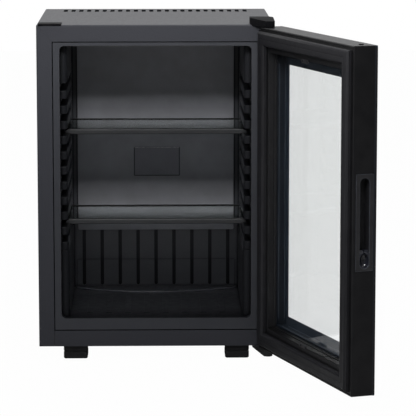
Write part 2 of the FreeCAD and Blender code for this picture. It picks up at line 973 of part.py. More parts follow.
def cover_outline(shrink):
    """The hinge cover's plan, drawn in by one distance all round."""
    left = half_width - cover_left_from_side
    right = half_width - cover_right_from_side
    tip_left = half_width - cover_tip_from_side
    corner = (right - tip_left) / 4
    points = [
        (left, cover_rear),
        (left, cover_wall * 2),
        (tip_left, -cover_tip_reach),
        (right - corner, -cover_tip_reach),
        (right, -cover_tip_reach + corner),
        (right, cover_rear - cover_rear_chamfer * 2),
        (right - cover_rear_chamfer, cover_rear),
    ]
    outline = Part.makePolygon([vector(x, y, 0) for x, y in points + [points[0]]])
    face = Part.Face(outline)
    if shrink > 0:
        face = Part.Face(face.makeOffset2D(-shrink).Wires[0])
    return face


def upper_hinge_cover():
    top = body_top + cover_height
    skirt_bottom = body_top - cover_skirt_drop
    body = cover_outline(0)
    body.translate(vector(0, 0, skirt_bottom))
    body = body.extrude(vector(0, 0, top - skirt_bottom))
    over_cabinet = box(0, cabinet_width, -cover_skirt_start, cabinet_depth, body_bottom, body_top)
    tilt = [
        (-cover_tip_reach - overrun, top - cover_front_drop),
        (0, top),
        (cover_rear + overrun, top),
        (cover_rear + overrun, top + overrun),
        (-cover_tip_reach - overrun, top + overrun),
    ]
    body = body.cut([over_cabinet, profile_x(tilt, 0, cabinet_width)])
    inside = cover_outline(cover_wall)
    inside.translate(vector(0, 0, body_bottom))
    inside = inside.extrude(vector(0, 0, top - cover_front_drop - cover_wall - body_bottom))
    return body.cut(inside)


def hinge_screws():
    upper = [pan_screw_down(x, y, body_top + bracket_thickness) for x, y in upper_screw_places()]
    lower = [pan_screw_up(x, y, body_bottom - bracket_thickness) for x, y in lower_screw_places()]
    return upper + lower


def lower_hinge_bracket():
    """A steel plate under the base, with a skirt that deepens towards its tip."""
    plate_bottom = body_bottom - bracket_thickness
    skirt_bottom = plate_bottom - lower_bracket_skirt_height
    outline = bracket_outline(lower_bracket_left_from_side, lower_bracket_rear, 0)
    block = plate_z(outline, skirt_bottom, body_bottom)
    face = Part.Face(Part.makePolygon([vector(x, y, skirt_bottom) for x, y in outline + [outline[0]]]))
    hollow = Part.Face(face.makeOffset2D(-lower_bracket_skirt_thickness).Wires[0])
    hollow.translate(vector(0, 0, -overrun))
    hollow = hollow.extrude(vector(0, 0, plate_bottom - skirt_bottom + overrun))
    taper = [
        (lower_bracket_rear + overrun, plate_bottom),
        (0, plate_bottom),
        (-lower_bracket_skirt_taper, skirt_bottom),
        (-lower_bracket_skirt_taper, skirt_bottom - overrun),
        (lower_bracket_rear + overrun, skirt_bottom - overrun),
    ]
    shallow = profile_x(taper, 0, cabinet_width)
    holes = screw_holes(lower_screw_places(), plate_bottom - overrun, body_bottom + overrun)
    pin_hole = round_z(hinge_x, hinge_y, plate_bottom - overrun, body_bottom + overrun, hinge_pin_radius)
    return block.cut([hollow, shallow, pin_hole] + holes)


def lower_hinge_pin():
    plate_bottom = body_bottom - bracket_thickness
    boss_bottom = plate_bottom - lower_bracket_skirt_height
    head_bottom = boss_bottom - lower_pin_head_height
    head = round_z(hinge_x, hinge_y, head_bottom, boss_bottom, lower_pin_head_radius)
    rim = [edge for edge in head.Edges if edge.BoundBox.ZMax < boss_bottom - lower_pin_head_height / 2]
    head = head.makeFillet(lower_pin_head_rounding, rim)
    boss = round_z(hinge_x, hinge_y, boss_bottom, plate_bottom, lower_pin_boss_radius)
    shank = round_z(hinge_x, hinge_y, plate_bottom, door_bottom + hinge_pin_reach, hinge_pin_radius)
    return head.multiFuse([boss, shank])


def blanking_plate():
    """Closes the screw holes of the hinge position that isn't used."""
    x0 = -half_width + blanking_from_side
    x1 = x0 + blanking_width
    top = box(x0, x1, -blanking_lip_thickness, blanking_depth, body_top, body_top + blanking_thickness)
    lip = box(x0, x1, -blanking_lip_thickness, 0, body_top - blanking_lip_drop, body_top)
    plate = top.fuse(lip)
    corners = edges_along(plate, vector(0, 0, 1), lambda p: p.y > blanking_depth / 2)
    return plate.makeFillet(blanking_lip_thickness, corners)


# Feet


def foot_block(x, y):
    upper_bottom = foot_pad_height + foot_neck_height
    block = box(x, x + foot_width, y, y + foot_depth, upper_bottom, foot_height)
    block = block.makeFillet(foot_corner_radius, edges_along(block, vector(0, 0, 1)))
    neck = box(
        x + foot_neck_inset,
        x + foot_width - foot_neck_inset,
        y + foot_neck_inset,
        y + foot_depth - foot_neck_inset,
        foot_pad_height,
        upper_bottom,
    )
    neck = neck.makeFillet(foot_corner_radius - foot_neck_inset, edges_along(neck, vector(0, 0, 1)))
    centre_x = x + foot_width / 2
    centre_y = y + foot_depth / 2
    hole = round_z(centre_x, centre_y, 0, foot_height + overrun, foot_screw_radius + screw_hole_gap)
    return block.fuse(neck).cut(hole)


def foot_pad(x, y):
    pad = box(x, x + foot_width, y, y + foot_depth, 0, foot_pad_height)
    pad = pad.makeFillet(foot_corner_radius, edges_along(pad, vector(0, 0, 1)))
    rim = [edge for edge in pad.Edges if edge.BoundBox.ZMax < foot_pad_height / 2]
    pad = pad.makeFillet(foot_pad_edge_radius, rim)
    centre_x = x + foot_width / 2
    centre_y = y + foot_depth / 2
    recess_top = foot_screw_recess + foot_screw_head_height
    recess = round_z(centre_x, centre_y, -overrun, recess_top, foot_screw_recess_radius)
    hole = round_z(centre_x, centre_y, 0, foot_height, foot_screw_radius + screw_hole_gap)
    return pad.cut([recess, hole])


def foot_screw(x, y):
    head_top = foot_screw_recess + foot_screw_head_height
    head = round_z(x, y, foot_screw_recess, head_top, foot_screw_head_radius)
    return head.fuse(round_z(x, y, head_top, head_top + foot_screw_length, foot_screw_radius))


# Cooling unit


def boiler_tube():
    return round_z(boiler_x, unit_y, boiler_bottom, boiler_top, boiler_radius)


def heater_x():
    return boiler_x - boiler_radius - heater_radius - heater_gap


def heater_cartridge():
    return round_z(heater_x(), unit_y, heater_bottom, heater_top, heater_radius)


def casing_block(shrink):
    return box(
        boiler_x - casing_width / 2 + shrink,
        boiler_x + casing_width / 2 - shrink,
        unit_y - casing_depth / 2 + shrink,
        unit_y + casing_depth / 2 - shrink,
        casing_bottom + shrink,
        casing_top - shrink,
    )


def lead_place_y():
    return bulkhead_front + steel_sheet + lead_from_bulkhead


def lead_hole():
    x0 = boiler_x - casing_width / 2 - overrun
    return round_x(lead_place_y(), lead_height, x0, x0 + overrun * 2, lead_radius)


def boiler_casing():
    case = casing_block(0)
    case = case.makeFillet(control_edge_radius, edges_along(case, vector(0, 0, 1)))
    case = case.cut(casing_block(steel_sheet))
    return case.cut([boiler_tube(), lead_hole()])


def boiler_insulation():
    return casing_block(steel_sheet).cut([boiler_tube(), heater_cartridge(), heater_lead()])


def condenser_tube():
    points = [
        (boiler_x, unit_y, boiler_top),
        (boiler_x, unit_y, condenser_height),
        (evaporator_left, unit_y, condenser_height),
        (evaporator_left, unit_y, evaporator_start),
    ]
    return tube(points, condenser_radius, condenser_bend)


def condenser_fins():
    fins = []
    for number in range(fin_count):
        x0 = fin_start + number * fin_pitch
        fin = box(
            x0,
            x0 + fin_thickness,
            unit_y - fin_depth / 2,
            unit_y + fin_depth / 2,
            condenser_height - fin_height / 2,
            condenser_height + fin_height / 2,
        )
        hole = round_x(unit_y, condenser_height, x0 - overrun, x0 + overrun, condenser_radius)
        fins.append(fin.cut(hole))
    return fins


def evaporator_y():
    return cold_plate_front + cold_plate_thickness + evaporator_radius + clamp_thickness / 10


def evaporator_tube():
    y = evaporator_y()
    points = [
        (evaporator_left, unit_y, evaporator_start),
        (evaporator_left, unit_y, evaporator_upper),
        (evaporator_left, y, evaporator_upper),
        (evaporator_right, y, evaporator_upper),
        (evaporator_right, y, evaporator_lower),
        (evaporator_left, y, evaporator_lower),
        (evaporator_left, unit_y, evaporator_lower),
        (evaporator_left, unit_y, evaporator_end),
    ]
    return tube(points, evaporator_radius, evaporator_bend)


def evaporator_clamps():
    """Saddles that press the cold tube against the back of the cold plate."""
    clamps = []
    y0 = cold_plate_front + cold_plate_thickness
    y1 = evaporator_y()
    for x in (evaporator_left + clamp_from_tube_end, evaporator_right - clamp_from_tube_end):
        for z in (evaporator_upper, evaporator_lower):
            half = clamp_height / 2
            block = box(x, x + clamp_width, y0, y1 + evaporator_radius / 2, z - half, z + half)
            block = block.makeChamfer(
                evaporator_radius / 2,
                edges_along(block, vector(1, 0, 0), lambda p: p.y > y1),
            )
            hole = round_x(y1, z, x - overrun, x + clamp_width + overrun, evaporator_radius)
            way_out = box(
                x - overrun,
                x + clamp_width + overrun,
                y0 - overrun,
                y1,
                z - evaporator_radius,
                z + evaporator_radius,
            )
            clamps += block.cut([hole, way_out]).Solids
    return clamps


def evaporator_plug(tube_shape):
    return evaporator_plug_block().cut(tube_shape)


def gas_exchanger():
    return round_z(evaporator_left, unit_y, exchanger_bottom, evaporator_end, exchanger_radius)


def absorber_coil():
    upper, middle, lower = coil_heights
    points = [
        (evaporator_left, unit_y, exchanger_bottom),
        (evaporator_left, unit_y, upper),
        (coil_outer_right, unit_y, upper),
        (coil_outer_right, unit_y, middle),
        (coil_inner_left, unit_y, middle),
        (coil_inner_left, unit_y, lower),
        (coil_inner_right, unit_y, lower),
        (coil_inner_right, unit_y, vessel_height),
    ]
    return tube(points, pipe_radius, pipe_bend).cut(vessel_block())


def vessel_block():
    vessel = round_x(unit_y, vessel_height, vessel_left, vessel_right, vessel_radius)
    ends = [edge for edge in vessel.Edges if edge.Curve.TypeId == "Part::GeomCircle"]
    return vessel.makeFillet(vessel_end_radius, ends)


def liquor_pipe():
    points = [
        (vessel_right, unit_y, vessel_height),
        (boiler_x, unit_y, vessel_height),
        (boiler_x, unit_y, boiler_bottom),
    ]
    return tube(points, pipe_radius, pipe_bend)


def unit_strap(z):
    """A cross strap behind the cooling unit, folded forward on to the shell's side walls."""
    front = unit_y + casing_depth / 2
    half = strap_height / 2
    strap = box(-inner_half_width, inner_half_width, front, front + strap_thickness, z - half, z + half)
    tab_front = front - strap_tab_depth
    left = box(-inner_half_width, -inner_half_width + strap_thickness, tab_front, front, z - half, z + half)
    right = left.mirror(vector(0, 0, 0), vector(1, 0, 0))
    return strap.multiFuse([left, right])


# Electrical parts


def dial_place():
    return (control_left + control_width / 2, control_bottom + dial_above_control_bottom)


def control_rear():
    return bulkhead_front + steel_sheet + control_depth


def inlet_block(grow):
    x = control_left + control_width / 2
    z = control_bottom + inlet_above_control_bottom
    half_x = inlet_width / 2 + grow
    half_z = inlet_height / 2 + grow
    return (x - half_x, x + half_x, z - half_z, z + half_z)


def control_box():
    y0 = bulkhead_front + steel_sheet
    y1 = control_rear()
    control_right = control_left + control_width
    control_top = control_bottom + control_height
    case = box(control_left, control_right, y0, y1, control_bottom, control_top)
    case = case.makeFillet(control_edge_radius, edges_along(case, vector(0, 1, 0)))
    inside = box(
        control_left + control_wall,
        control_right - control_wall,
        y0 - overrun,
        y1 - control_wall,
        control_bottom + control_wall,
        control_top - control_wall,
    )
    x0, x1, z0, z1 = inlet_block(0)
    inlet_hole = box(x0, x1, y1 - overrun, y1 + overrun, z0, z1)
    dial_x, dial_z = dial_place()
    spindle_radius = dial_spindle_radius + hinge_pin_running_gap
    spindle_hole = round_y(dial_x, dial_z, y1 - overrun, y1 + overrun, spindle_radius)
    lead_way = round_x(
        lead_place_y(), lead_height, control_right - overrun, control_right + overrun, lead_radius
    )
    return case.cut([inside, inlet_hole, spindle_hole, lead_way])


def thermostat_dial():
    x, z = dial_place()
    y1 = control_rear()
    knob = round_y(x, z, y1 + dial_gap, y1 + dial_gap + dial_height, dial_radius)
    rim = [edge for edge in knob.Edges if edge.CenterOfMass.y > y1 + dial_height]
    knob = knob.makeChamfer(dial_gap * 2, rim)
    grip_half = dial_grip_width / 2
    outer_y = y1 + dial_gap + dial_height
    reach = dial_radius - dial_gap * 4
    grip = box(x - grip_half, x + grip_half, outer_y, outer_y + dial_grip_height, z - reach, z + reach)
    spindle = round_y(x, z, y1 - dial_spindle_length, y1 + dial_gap, dial_spindle_radius)
    return knob.multiFuse([grip, spindle])


def power_inlet():
    """A recessed appliance inlet with three flat pins."""
    y1 = control_rear()
    x0, x1, z0, z1 = inlet_block(0)
    body = box(x0, x1, y1 - inlet_depth, y1, z0, z1)
    fx0, fx1, fz0, fz1 = inlet_block(inlet_flange)
    flange = box(fx0, fx1, y1, y1 + inlet_flange_thickness, fz0, fz1)
    hx0, hx1, hz0, hz1 = inlet_block(-inlet_wall)
    hollow = box(hx0, hx1, y1 - inlet_depth + inlet_wall, y1 + overrun, hz0, hz1)
    socket = body.fuse(flange).cut(hollow)
    x = (x0 + x1) / 2
    z = (z0 + z1) / 2
    half_x = inlet_pin_width / 2
    half_z = inlet_pin_height / 2
    pins = []
    for column, rise in ((-1, 0), (0, 1), (1, 0)):
        px = x + column * inlet_pin_spacing
        pz = z + rise * half_z
        pins.append(
            box(px - half_x, px + half_x, y1 - inlet_depth + inlet_wall, y1, pz - half_z, pz + half_z)
        )
    return socket.multiFuse(pins)


def heater_lead():
    """The lead from the control box into the boiler casing, clipped along the bulkhead."""
    x0 = control_left + control_width - control_wall
    x1 = boiler_x - casing_width / 2 + control_wall
    return round_x(lead_place_y(), lead_height, x0, x1, lead_radius)


# Shelves


def shelf_bottom(pitch_count):
    """The height at which a shelf rests on its runners, counted down from the top runner."""
    return guide_top - pitch_count * guide_pitch + shelf_clearance


def shelf_glass(pitch_count):
    z0 = shelf_bottom(pitch_count)
    half = shelf_glass_half_width
    z1 = z0 + shelf_glass_thickness
    return box(-half, half, shelf_front + rail_cover, shelf_rear - rail_cover, z0, z1)


def shelf_rail(pitch_count, y0, y1, drop, height):
    """A trim along the glass, whose tapered ends rest on the runners."""
    rest = shelf_bottom(pitch_count)
    half = rail_half_length
    between = guide_face_x - rail_side_gap
    top = rest - drop + height
    right = [
        (between, rest - drop),
        (between, rest),
        (half, rest),
        (half, rest + rail_end_height),
        (half - rail_taper, top),
    ]
    left = [(-x, z) for x, z in reversed(right)]
    return profile_y(right + left, y0, y1)


def shelf_front_rail(pitch_count):
    rail_rear = shelf_front + front_rail_depth
    rail = shelf_rail(pitch_count, shelf_front, rail_rear, front_rail_drop, front_rail_height)
    middle = shelf_bottom(pitch_count)
    long_edges = edges_along(
        rail,
        vector(1, 0, 0),
        lambda p: p.y < shelf_front + shelf_clearance and abs(p.x) < shelf_clearance and p.z != middle,
    )
    return rail.makeFillet(front_rail_nose, long_edges).cut(shelf_glass(pitch_count))


def shelf_rear_rail(pitch_count):
    rail_front = shelf_rear - rear_rail_depth
    rail = shelf_rail(pitch_count, rail_front, shelf_rear, rear_rail_drop, rear_rail_height)
    return rail.cut(shelf_glass(pitch_count))


# Door, drawn shut


def door_y(depth):
    """The Y place at a depth below the door's inner face, with the door shut."""
    return door_inner_face - depth


def handle_centre_y():
    return door_y(handle_from_inner_face + handle_width / 2)


def handle_plate_block(grow):
    half = handle_width / 2 + grow
    y = handle_centre_y()
    return box(
        -half_width,
        -half_width + handle_plate_thickness,
        y - half,
        y + half,
        handle_bottom + body_bottom - grow,
        handle_bottom + body_bottom + handle_height + grow,
    )


def slot_low():
    return handle_bottom + body_bottom + slot_above_handle_bottom


def slot_shape(grow, x0, x1):
    z0 = slot_low() - grow
    z1 = slot_low() + slot_length + grow
    return stadium_x(handle_centre_y(), z0, z1, slot_width + grow * 2, x0, x1)


def cup_bottom_x():
    return -half_width + handle_plate_thickness + slot_depth


def door_frame():
    y_inner = door_y(0)
    y_outer = door_y(frame_thickness)
    frame = box(-half_width, half_width, y_outer, y_inner, door_bottom, door_top)
    corners = edges_along(frame, vector(0, 1, 0))
    inner_rim = edges_along(frame, vector(1, 0, 0), lambda p: p.y > y_inner - seam_gap)
    inner_rim += edges_along(frame, vector(0, 0, 1), lambda p: p.y > y_inner - seam_gap)
    frame = frame.makeFillet(door_edge_radius, corners + inner_rim)
    y_pane = door_y(inner_glass_depth)
    mouth = inset(glazing_side_inset, glazing_end_inset)
    rebate = rebate_outline()
    front_way = box(-mouth[0], mouth[0], y_pane, y_inner + overrun, mouth[1], mouth[2])
    pocket = box(-rebate[0], rebate[0], y_outer - overrun, y_pane, rebate[1], rebate[2])
    groove_far = frame_groove_inset + frame_groove_width
    groove = ring_y(
        inset(frame_groove_inset, frame_groove_inset),
        inset(groove_far, groove_far),
        y_inner - frame_groove_depth,
        y_inner + overrun,
    )
    cup_hole = slot_shape(cup_wall, -half_width, cup_bottom_x() + cup_wall)
    bushes = [
        round_z(hinge_x, hinge_y, door_top - bush_depth, door_top + overrun, bush_radius),
        round_z(hinge_x, hinge_y, door_bottom - overrun, door_bottom + bush_depth, bush_radius),
        round_z(hinge_x, hinge_y, door_bottom - overrun, lower_flange_top(), bush_flange_radius),
    ]
    frame = frame.cut([front_way, pocket, groove, handle_plate_block(handle_fit_gap), cup_hole])
    return frame.cut(bushes + pivot_plug_shapes(0) + [door_core()])


def rebate_outline():
    return inset(inner_glass_side_inset - glazing_gap, inner_glass_end_inset - glazing_gap)


def door_core():
    """The foam that fills the door frame, clear of its bushes, handle and plugs."""
    side = min(inner_glass_side_inset - glazing_gap, glazing_side_inset) - core_wall
    end = min(inner_glass_end_inset - glazing_gap, glazing_end_inset) - core_wall
    y0 = door_y(frame_thickness - core_wall)
    y1 = door_y(core_wall)
    core = ring_y(inset(core_wall, core_wall), inset(side, end), y0, y1)
    boss = bush_radius + core_wall
    reach = bush_depth + core_wall
    plate = handle_plate_block(core_wall)
    plate = plate.fuse(plate.translated(vector(core_wall, 0, 0)))
    clear_of = [
        round_z(hinge_x, hinge_y, door_top - reach, door_top, boss),
        round_z(hinge_x, hinge_y, door_bottom, door_bottom + reach, boss),
        slot_shape(cup_wall + core_wall, -half_width, cup_bottom_x() + cup_wall + core_wall),
        plate,
    ]
    return core.cut(clear_of + pivot_plug_shapes(core_wall))


def glazing_frame():
    """The moulding that holds the inner pane, with a flat front and a reveal down to the glass."""
    y0 = door_y(inner_glass_depth)
    y1 = door_y(glazing_setback)
    outer = inset(glazing_side_inset, glazing_end_inset)
    body = box(-outer[0], outer[0], y0, y1, outer[1], outer[2])
    near_side = glazing_side_inset + glazing_side_flat
    near_end = glazing_end_inset + glazing_end_flat
    near = inset(near_side, near_end)
    far = inset(near_side + glazing_side_slope, near_end + glazing_end_slope)
    wires = []
    for outline, y in ((near, y1), (far, y0)):
        half, low, high = outline
        points = [vector(-half, y, low), vector(half, y, low), vector(half, y, high), vector(-half, y, high)]
        wires.append(Part.makePolygon(points + [points[0]]))
    return body.cut(Part.makeLoft(wires, True))


def outer_glass():
    return rounded_opening(
        -half_width,
        half_width,
        door_outer_face,
        door_outer_face + outer_glass_thickness,
        door_bottom,
        door_top,
        glass_corner_radius,
    )


def glass_border():
    """The opaque printed border on the inside of the outer pane."""
    y0 = door_outer_face + outer_glass_thickness
    outside = inset(door_edge_radius, door_edge_radius)
    return ring_y(outside, inset(border_side_width, border_end_width), y0, y0 + border_thickness)


def inner_glass():
    half, low, high = inset(inner_glass_side_inset, inner_glass_end_inset)
    y0 = door_y(inner_glass_depth + inner_glass_thickness)
    return box(-half, half, y0, door_y(inner_glass_depth), low, high)


def glass_spacer():
    outside = inset(spacer_side_inset, spacer_end_inset)
    inside = inset(spacer_side_inset + spacer_width, spacer_end_inset + spacer_width)
    y0 = door_y(frame_thickness)
    y1 = door_y(inner_glass_depth + inner_glass_thickness)
    return ring_y(outside, inside, y0, y1)


def gasket_outline(extra):
    return inset(gasket_side_inset + extra, gasket_end_inset + extra)


def door_gasket():
    """A magnetic seal with bevelled edges, hollow at its back for the magnet strips."""
    y0 = door_inner_face
    y1 = door_inner_face + gasket_height
    ring = ring_y(gasket_outline(0), gasket_outline(gasket_width), y0, y1)
    rim = [edge for edge in ring.Edges if edge.BoundBox.YMin > y1 - seam_gap]
    ring = ring.makeChamfer(gasket_bevel, rim)
    start = (gasket_width - magnet_width) / 2
    channel = ring_y(
        gasket_outline(start),
        gasket_outline(start + magnet_width),
        y0 - overrun,
        y1 - magnet_wall,
    )
    return ring.cut(channel)


def gasket_magnets():
    """Four magnet strips with mitred ends, which meet at the corners."""
    start = (gasket_width - magnet_width) / 2
    y1 = door_inner_face + gasket_height - magnet_wall
    y0 = y1 - magnet_height
    ring = ring_y(gasket_outline(start), gasket_outline(start + magnet_width), y0, y1)
    half, low, high = gasket_outline(start)
    kerf = vector(seam_gap / 2, 0, 0)
    mitres = []
    for side in (-1, 1):
        for corner_z, up in ((low, -1), (high, 1)):
            outer = vector(side * (half + overrun), y0 - overrun, corner_z + up * overrun)
            far = magnet_width + overrun
            inner = vector(side * (half - far), y0 - overrun, corner_z - up * far)
            cut = [outer - kerf, outer + kerf, inner + kerf, inner - kerf]
            mitres.append(prism(cut, vector(0, y1 - y0 + overrun * 2, 0)))
    return ring.cut(mitres).Solids


def glazing_clips():
    """Spring clips with two screws each, at the middle of the upper and lower glazing bars."""
    clips = []
    y1 = door_y(glazing_setback)
    half = clip_width / 2
    reach = glazing_end_inset + glazing_end_flat + clip_overhang
    for tip, start in (
        (door_bottom + reach, door_bottom + reach - clip_height),
        (door_top - reach, door_top - reach + clip_height),
    ):
        z0 = min(tip, start)
        z = (tip + start) / 2
        plate = box(-half, half, y1, y1 + steel_sheet, z0, z0 + clip_height)
        screws = [
            round_y(x, z, y1 + steel_sheet, y1 + steel_sheet + clip_screw_height, clip_screw_radius)
            for x in (-clip_screw_spacing / 2, clip_screw_spacing / 2)
        ]
        clips.append(plate.multiFuse(screws))
    return clips


def handle_plate():
    plate = handle_plate_block(0)
    plate = plate.makeFillet(handle_corner_radius, edges_along(plate, vector(1, 0, 0)))
    return plate.cut(slot_shape(0, -half_width - overrun, -half_width + handle_plate_thickness + overrun))


def handle_cup():
    """The finger recess behind the handle plate, with a low rib along its floor."""
    x0 = -half_width + handle_plate_thickness
    x1 = cup_bottom_x()
    outer = slot_shape(cup_wall, x0, x1 + cup_wall)
    hollow = slot_shape(0, x0 - overrun, x1)
    y = handle_centre_y()
    rib_half = cup_rib_width / 2
    z0 = slot_low() + slot_width / 2
    z1 = slot_low() + slot_length - slot_width / 2
    rib = box(x1 - cup_rib_height, x1, y - rib_half, y + rib_half, z0, z1)
    return outer.cut(hollow).fuse(rib).cut(end_plug_envelope())


def end_plug_envelope():
    x0 = -half_width + end_plug_setback
    z1 = slot_low() + end_plug_height
    lower = box(x0, cup_bottom_x(), door_outer_face, door_inner_face, slot_low(), z1)
    return slot_shape(0, x0, cup_bottom_x()).common(lower)


def slot_end_plug():
    """A polished filler at the foot of the slot, with a sloped top and a scooped face."""
    x0 = -half_width + end_plug_setback
    y = handle_centre_y()
    z1 = slot_low() + end_plug_height
    corner = [
        (x0 - overrun, z1 - end_plug_slope - overrun),
        (x0 + end_plug_slope, z1),
        (x0 - overrun, z1 + overrun),
    ]
    slope = profile_y(corner, door_outer_face, door_inner_face)
    rib_half = cup_rib_width / 2
    notch = box(x0 - overrun, cup_bottom_x(), y - rib_half, y + rib_half, z1 - end_plug_slope, z1 + overrun)
    scoop = Part.makeSphere(1)
    stretch = FreeCAD.Matrix()
    stretch.scale(vector(scoop_depth, scoop_width / 2, scoop_height / 2))
    scoop = scoop.transformGeometry(stretch)
    scoop.translate(vector(x0, y, slot_low() + scoop_above_slot_end))
    return end_plug_envelope().cut([slope, notch, scoop])


def upper_flange_top():
    return body_top - bush_face_gap


def lower_flange_bottom():
    return body_bottom + bush_face_gap


def lower_flange_top():
    return lower_flange_bottom() + bush_flange_height


def bush_bore():
    radius = hinge_pin_radius + hinge_pin_running_gap
    return round_z(hinge_x, hinge_y, 0, body_top + cabinet_height, radius)


def upper_hinge_bush():
    sleeve = round_z(hinge_x, hinge_y, door_top - bush_depth, door_top, bush_radius)
    flange = round_z(hinge_x, hinge_y, door_top, upper_flange_top(), bush_flange_radius)
    return sleeve.fuse(flange).cut(bush_bore())


def lower_hinge_bush():
    sleeve = round_z(hinge_x, hinge_y, lower_flange_bottom(), door_bottom + bush_depth, bush_radius)
    flange = round_z(hinge_x, hinge_y, lower_flange_bottom(), lower_flange_top(), bush_flange_radius)
    return sleeve.fuse(flange).cut(bush_bore())


def pivot_plug_shapes(grow):
    """Plugs in the pivot holes that serve when the door is hung the other way."""
    x = -half_width + plug_from_edge
    y = door_y(plug_from_inner_face)
    radius = plug_radius + grow
    depth = plug_depth + grow
    upper = round_z(x, y, door_top - depth, door_top, radius)
    upper_head = round_z(x, y, door_top, door_top + plug_head_height, plug_head_radius)
    lower = round_z(x, y, door_bottom, door_bottom + depth, radius)
    lower_head = round_z(x, y, door_bottom - plug_head_height, door_bottom, plug_head_radius)
    return [upper.fuse(upper_head), lower.fuse(lower_head)]


def insulation_foam(fasteners):
    """The foam between shell and liner, clear of the pieces that pass through it."""
    outline = [
        (steel_sheet, inner_bottom),
        (bulkhead_front, inner_bottom),
        (bulkhead_front, bulkhead_knee),
        (bulkhead_top_front, inner_top),
        (steel_sheet, inner_top),
    ]
    block = profile_x(outline, -inner_half_width, inner_half_width)
    inside = bent_case(
        inner_half_width, steel_sheet, cabinet_depth, 0, inner_top, shell_bend_radius - steel_sheet
    )
    liner = [liner_outside(-overrun, cavity_depth + liner_wall), liner_flange()]
    return block.common(inside).cut(liner + [evaporator_plug_block()] + fasteners)


def build_cabinet():
    keep("outer_shell", outer_shell())
    keep("base_panel", base_panel())
    keep("rear_bulkhead", rear_bulkhead())
    keep("inner_liner", inner_liner())
    keep("cold_plate", cold_plate())
    keep("sensor_cover", sensor_cover())
    keep("temperature_sensor", temperature_sensor())
    screws = hinge_screws()
    foot_screws = [foot_screw(x, y) for x, y in foot_centres()]
    keep_group("hinge_screws", screws)
    keep_group("foot_screws", foot_screws)
    keep("insulation_foam", insulation_foam(screws + foot_screws))


def build_hinges():
    keep("upper_hinge_bracket", upper_hinge_bracket())
    keep("upper_hinge_pin", upper_hinge_pin())
    keep("upper_hinge_cover", upper_hinge_cover())
    keep("blanking_plate", blanking_plate())
    keep("lower_hinge_bracket", lower_hinge_bracket())
    keep("lower_hinge_pin", lower_hinge_pin())


def build_feet():
    keep_group("feet", [foot_block(*place) for place in foot_places()])
    keep_group("foot_pads", [foot_pad(*place) for place in foot_places()])


def build_cooling_unit():
    cold_tube = evaporator_tube()
    keep("boiler_casing", boiler_casing())
    keep("boiler_insulation", boiler_insulation())
    keep("boiler_tube", boiler_tube())
    keep("heater_cartridge", heater_cartridge())
    keep("condenser_tube", condenser_tube())
    keep_group("condenser_fins", condenser_fins())
    keep("evaporator_tube", cold_tube)
    keep_group("evaporator_clamps", evaporator_clamps())
    keep("evaporator_plug", evaporator_plug(cold_tube))
    keep("gas_exchanger", gas_exchanger())
    keep("absorber_coil", absorber_coil())
    keep("absorber_vessel", vessel_block())
    keep("liquor_pipe", liquor_pipe())
    keep_group("unit_straps", [unit_strap(upper_strap_height), unit_strap(vessel_height)])


def build_electrical_parts():
    keep("control_box", control_box())
    keep("thermostat_dial", thermostat_dial())
    keep("power_inlet", power_inlet())
    keep("heater_lead", heater_lead())


def build_shelves():
    for name, pitch_count in (("upper", upper_shelf_pitch_count), ("lower", lower_shelf_pitch_count)):
        keep(name + "_shelf_glass", shelf_glass(pitch_count))
        keep(name + "_shelf_front_rail", shelf_front_rail(pitch_count))
        keep(name + "_shelf_rear_rail", shelf_rear_rail(pitch_count))


def build_door():
    keep_on_door("door_frame", door_frame())
    keep_on_door("door_core", door_core())
    keep_on_door("glazing_frame", glazing_frame())
    keep_on_door("outer_glass", outer_glass())
    keep_on_door("glass_border", glass_border())
    keep_on_door("inner_glass", inner_glass())
    keep_on_door("glass_spacer", glass_spacer())
    keep_on_door("door_gasket", door_gasket())
    keep_on_door("gasket_magnets", Part.makeCompound(gasket_magnets()))
    keep_on_door("glazing_clips", Part.makeCompound(glazing_clips()))
    keep_on_door("handle_plate", handle_plate())
    keep_on_door("handle_cup", handle_cup())
    keep_on_door("slot_end_plug", slot_end_plug())
    keep_on_door("upper_hinge_bush", upper_hinge_bush())
    keep_on_door("lower_hinge_bush", lower_hinge_bush())
    keep_on_door("pivot_plugs", Part.makeCompound(pivot_plug_shapes(0)))


build_cabinet()
build_hinges()
build_feet()
build_cooling_unit()
build_electrical_parts()
build_shelves()
build_door()

os.makedirs("parts", exist_ok=True)
for name, shape in nodes.items():
    shape.exportStep("parts/" + name + ".step")
    state = "valid" if shape.isValid() else "INVALID"
    print(name, len(shape.Solids), "solids", round(shape.Volume), "mm3", state)
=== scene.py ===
import json
import math

import bmesh
import bpy
from mathutils import Matrix, Vector

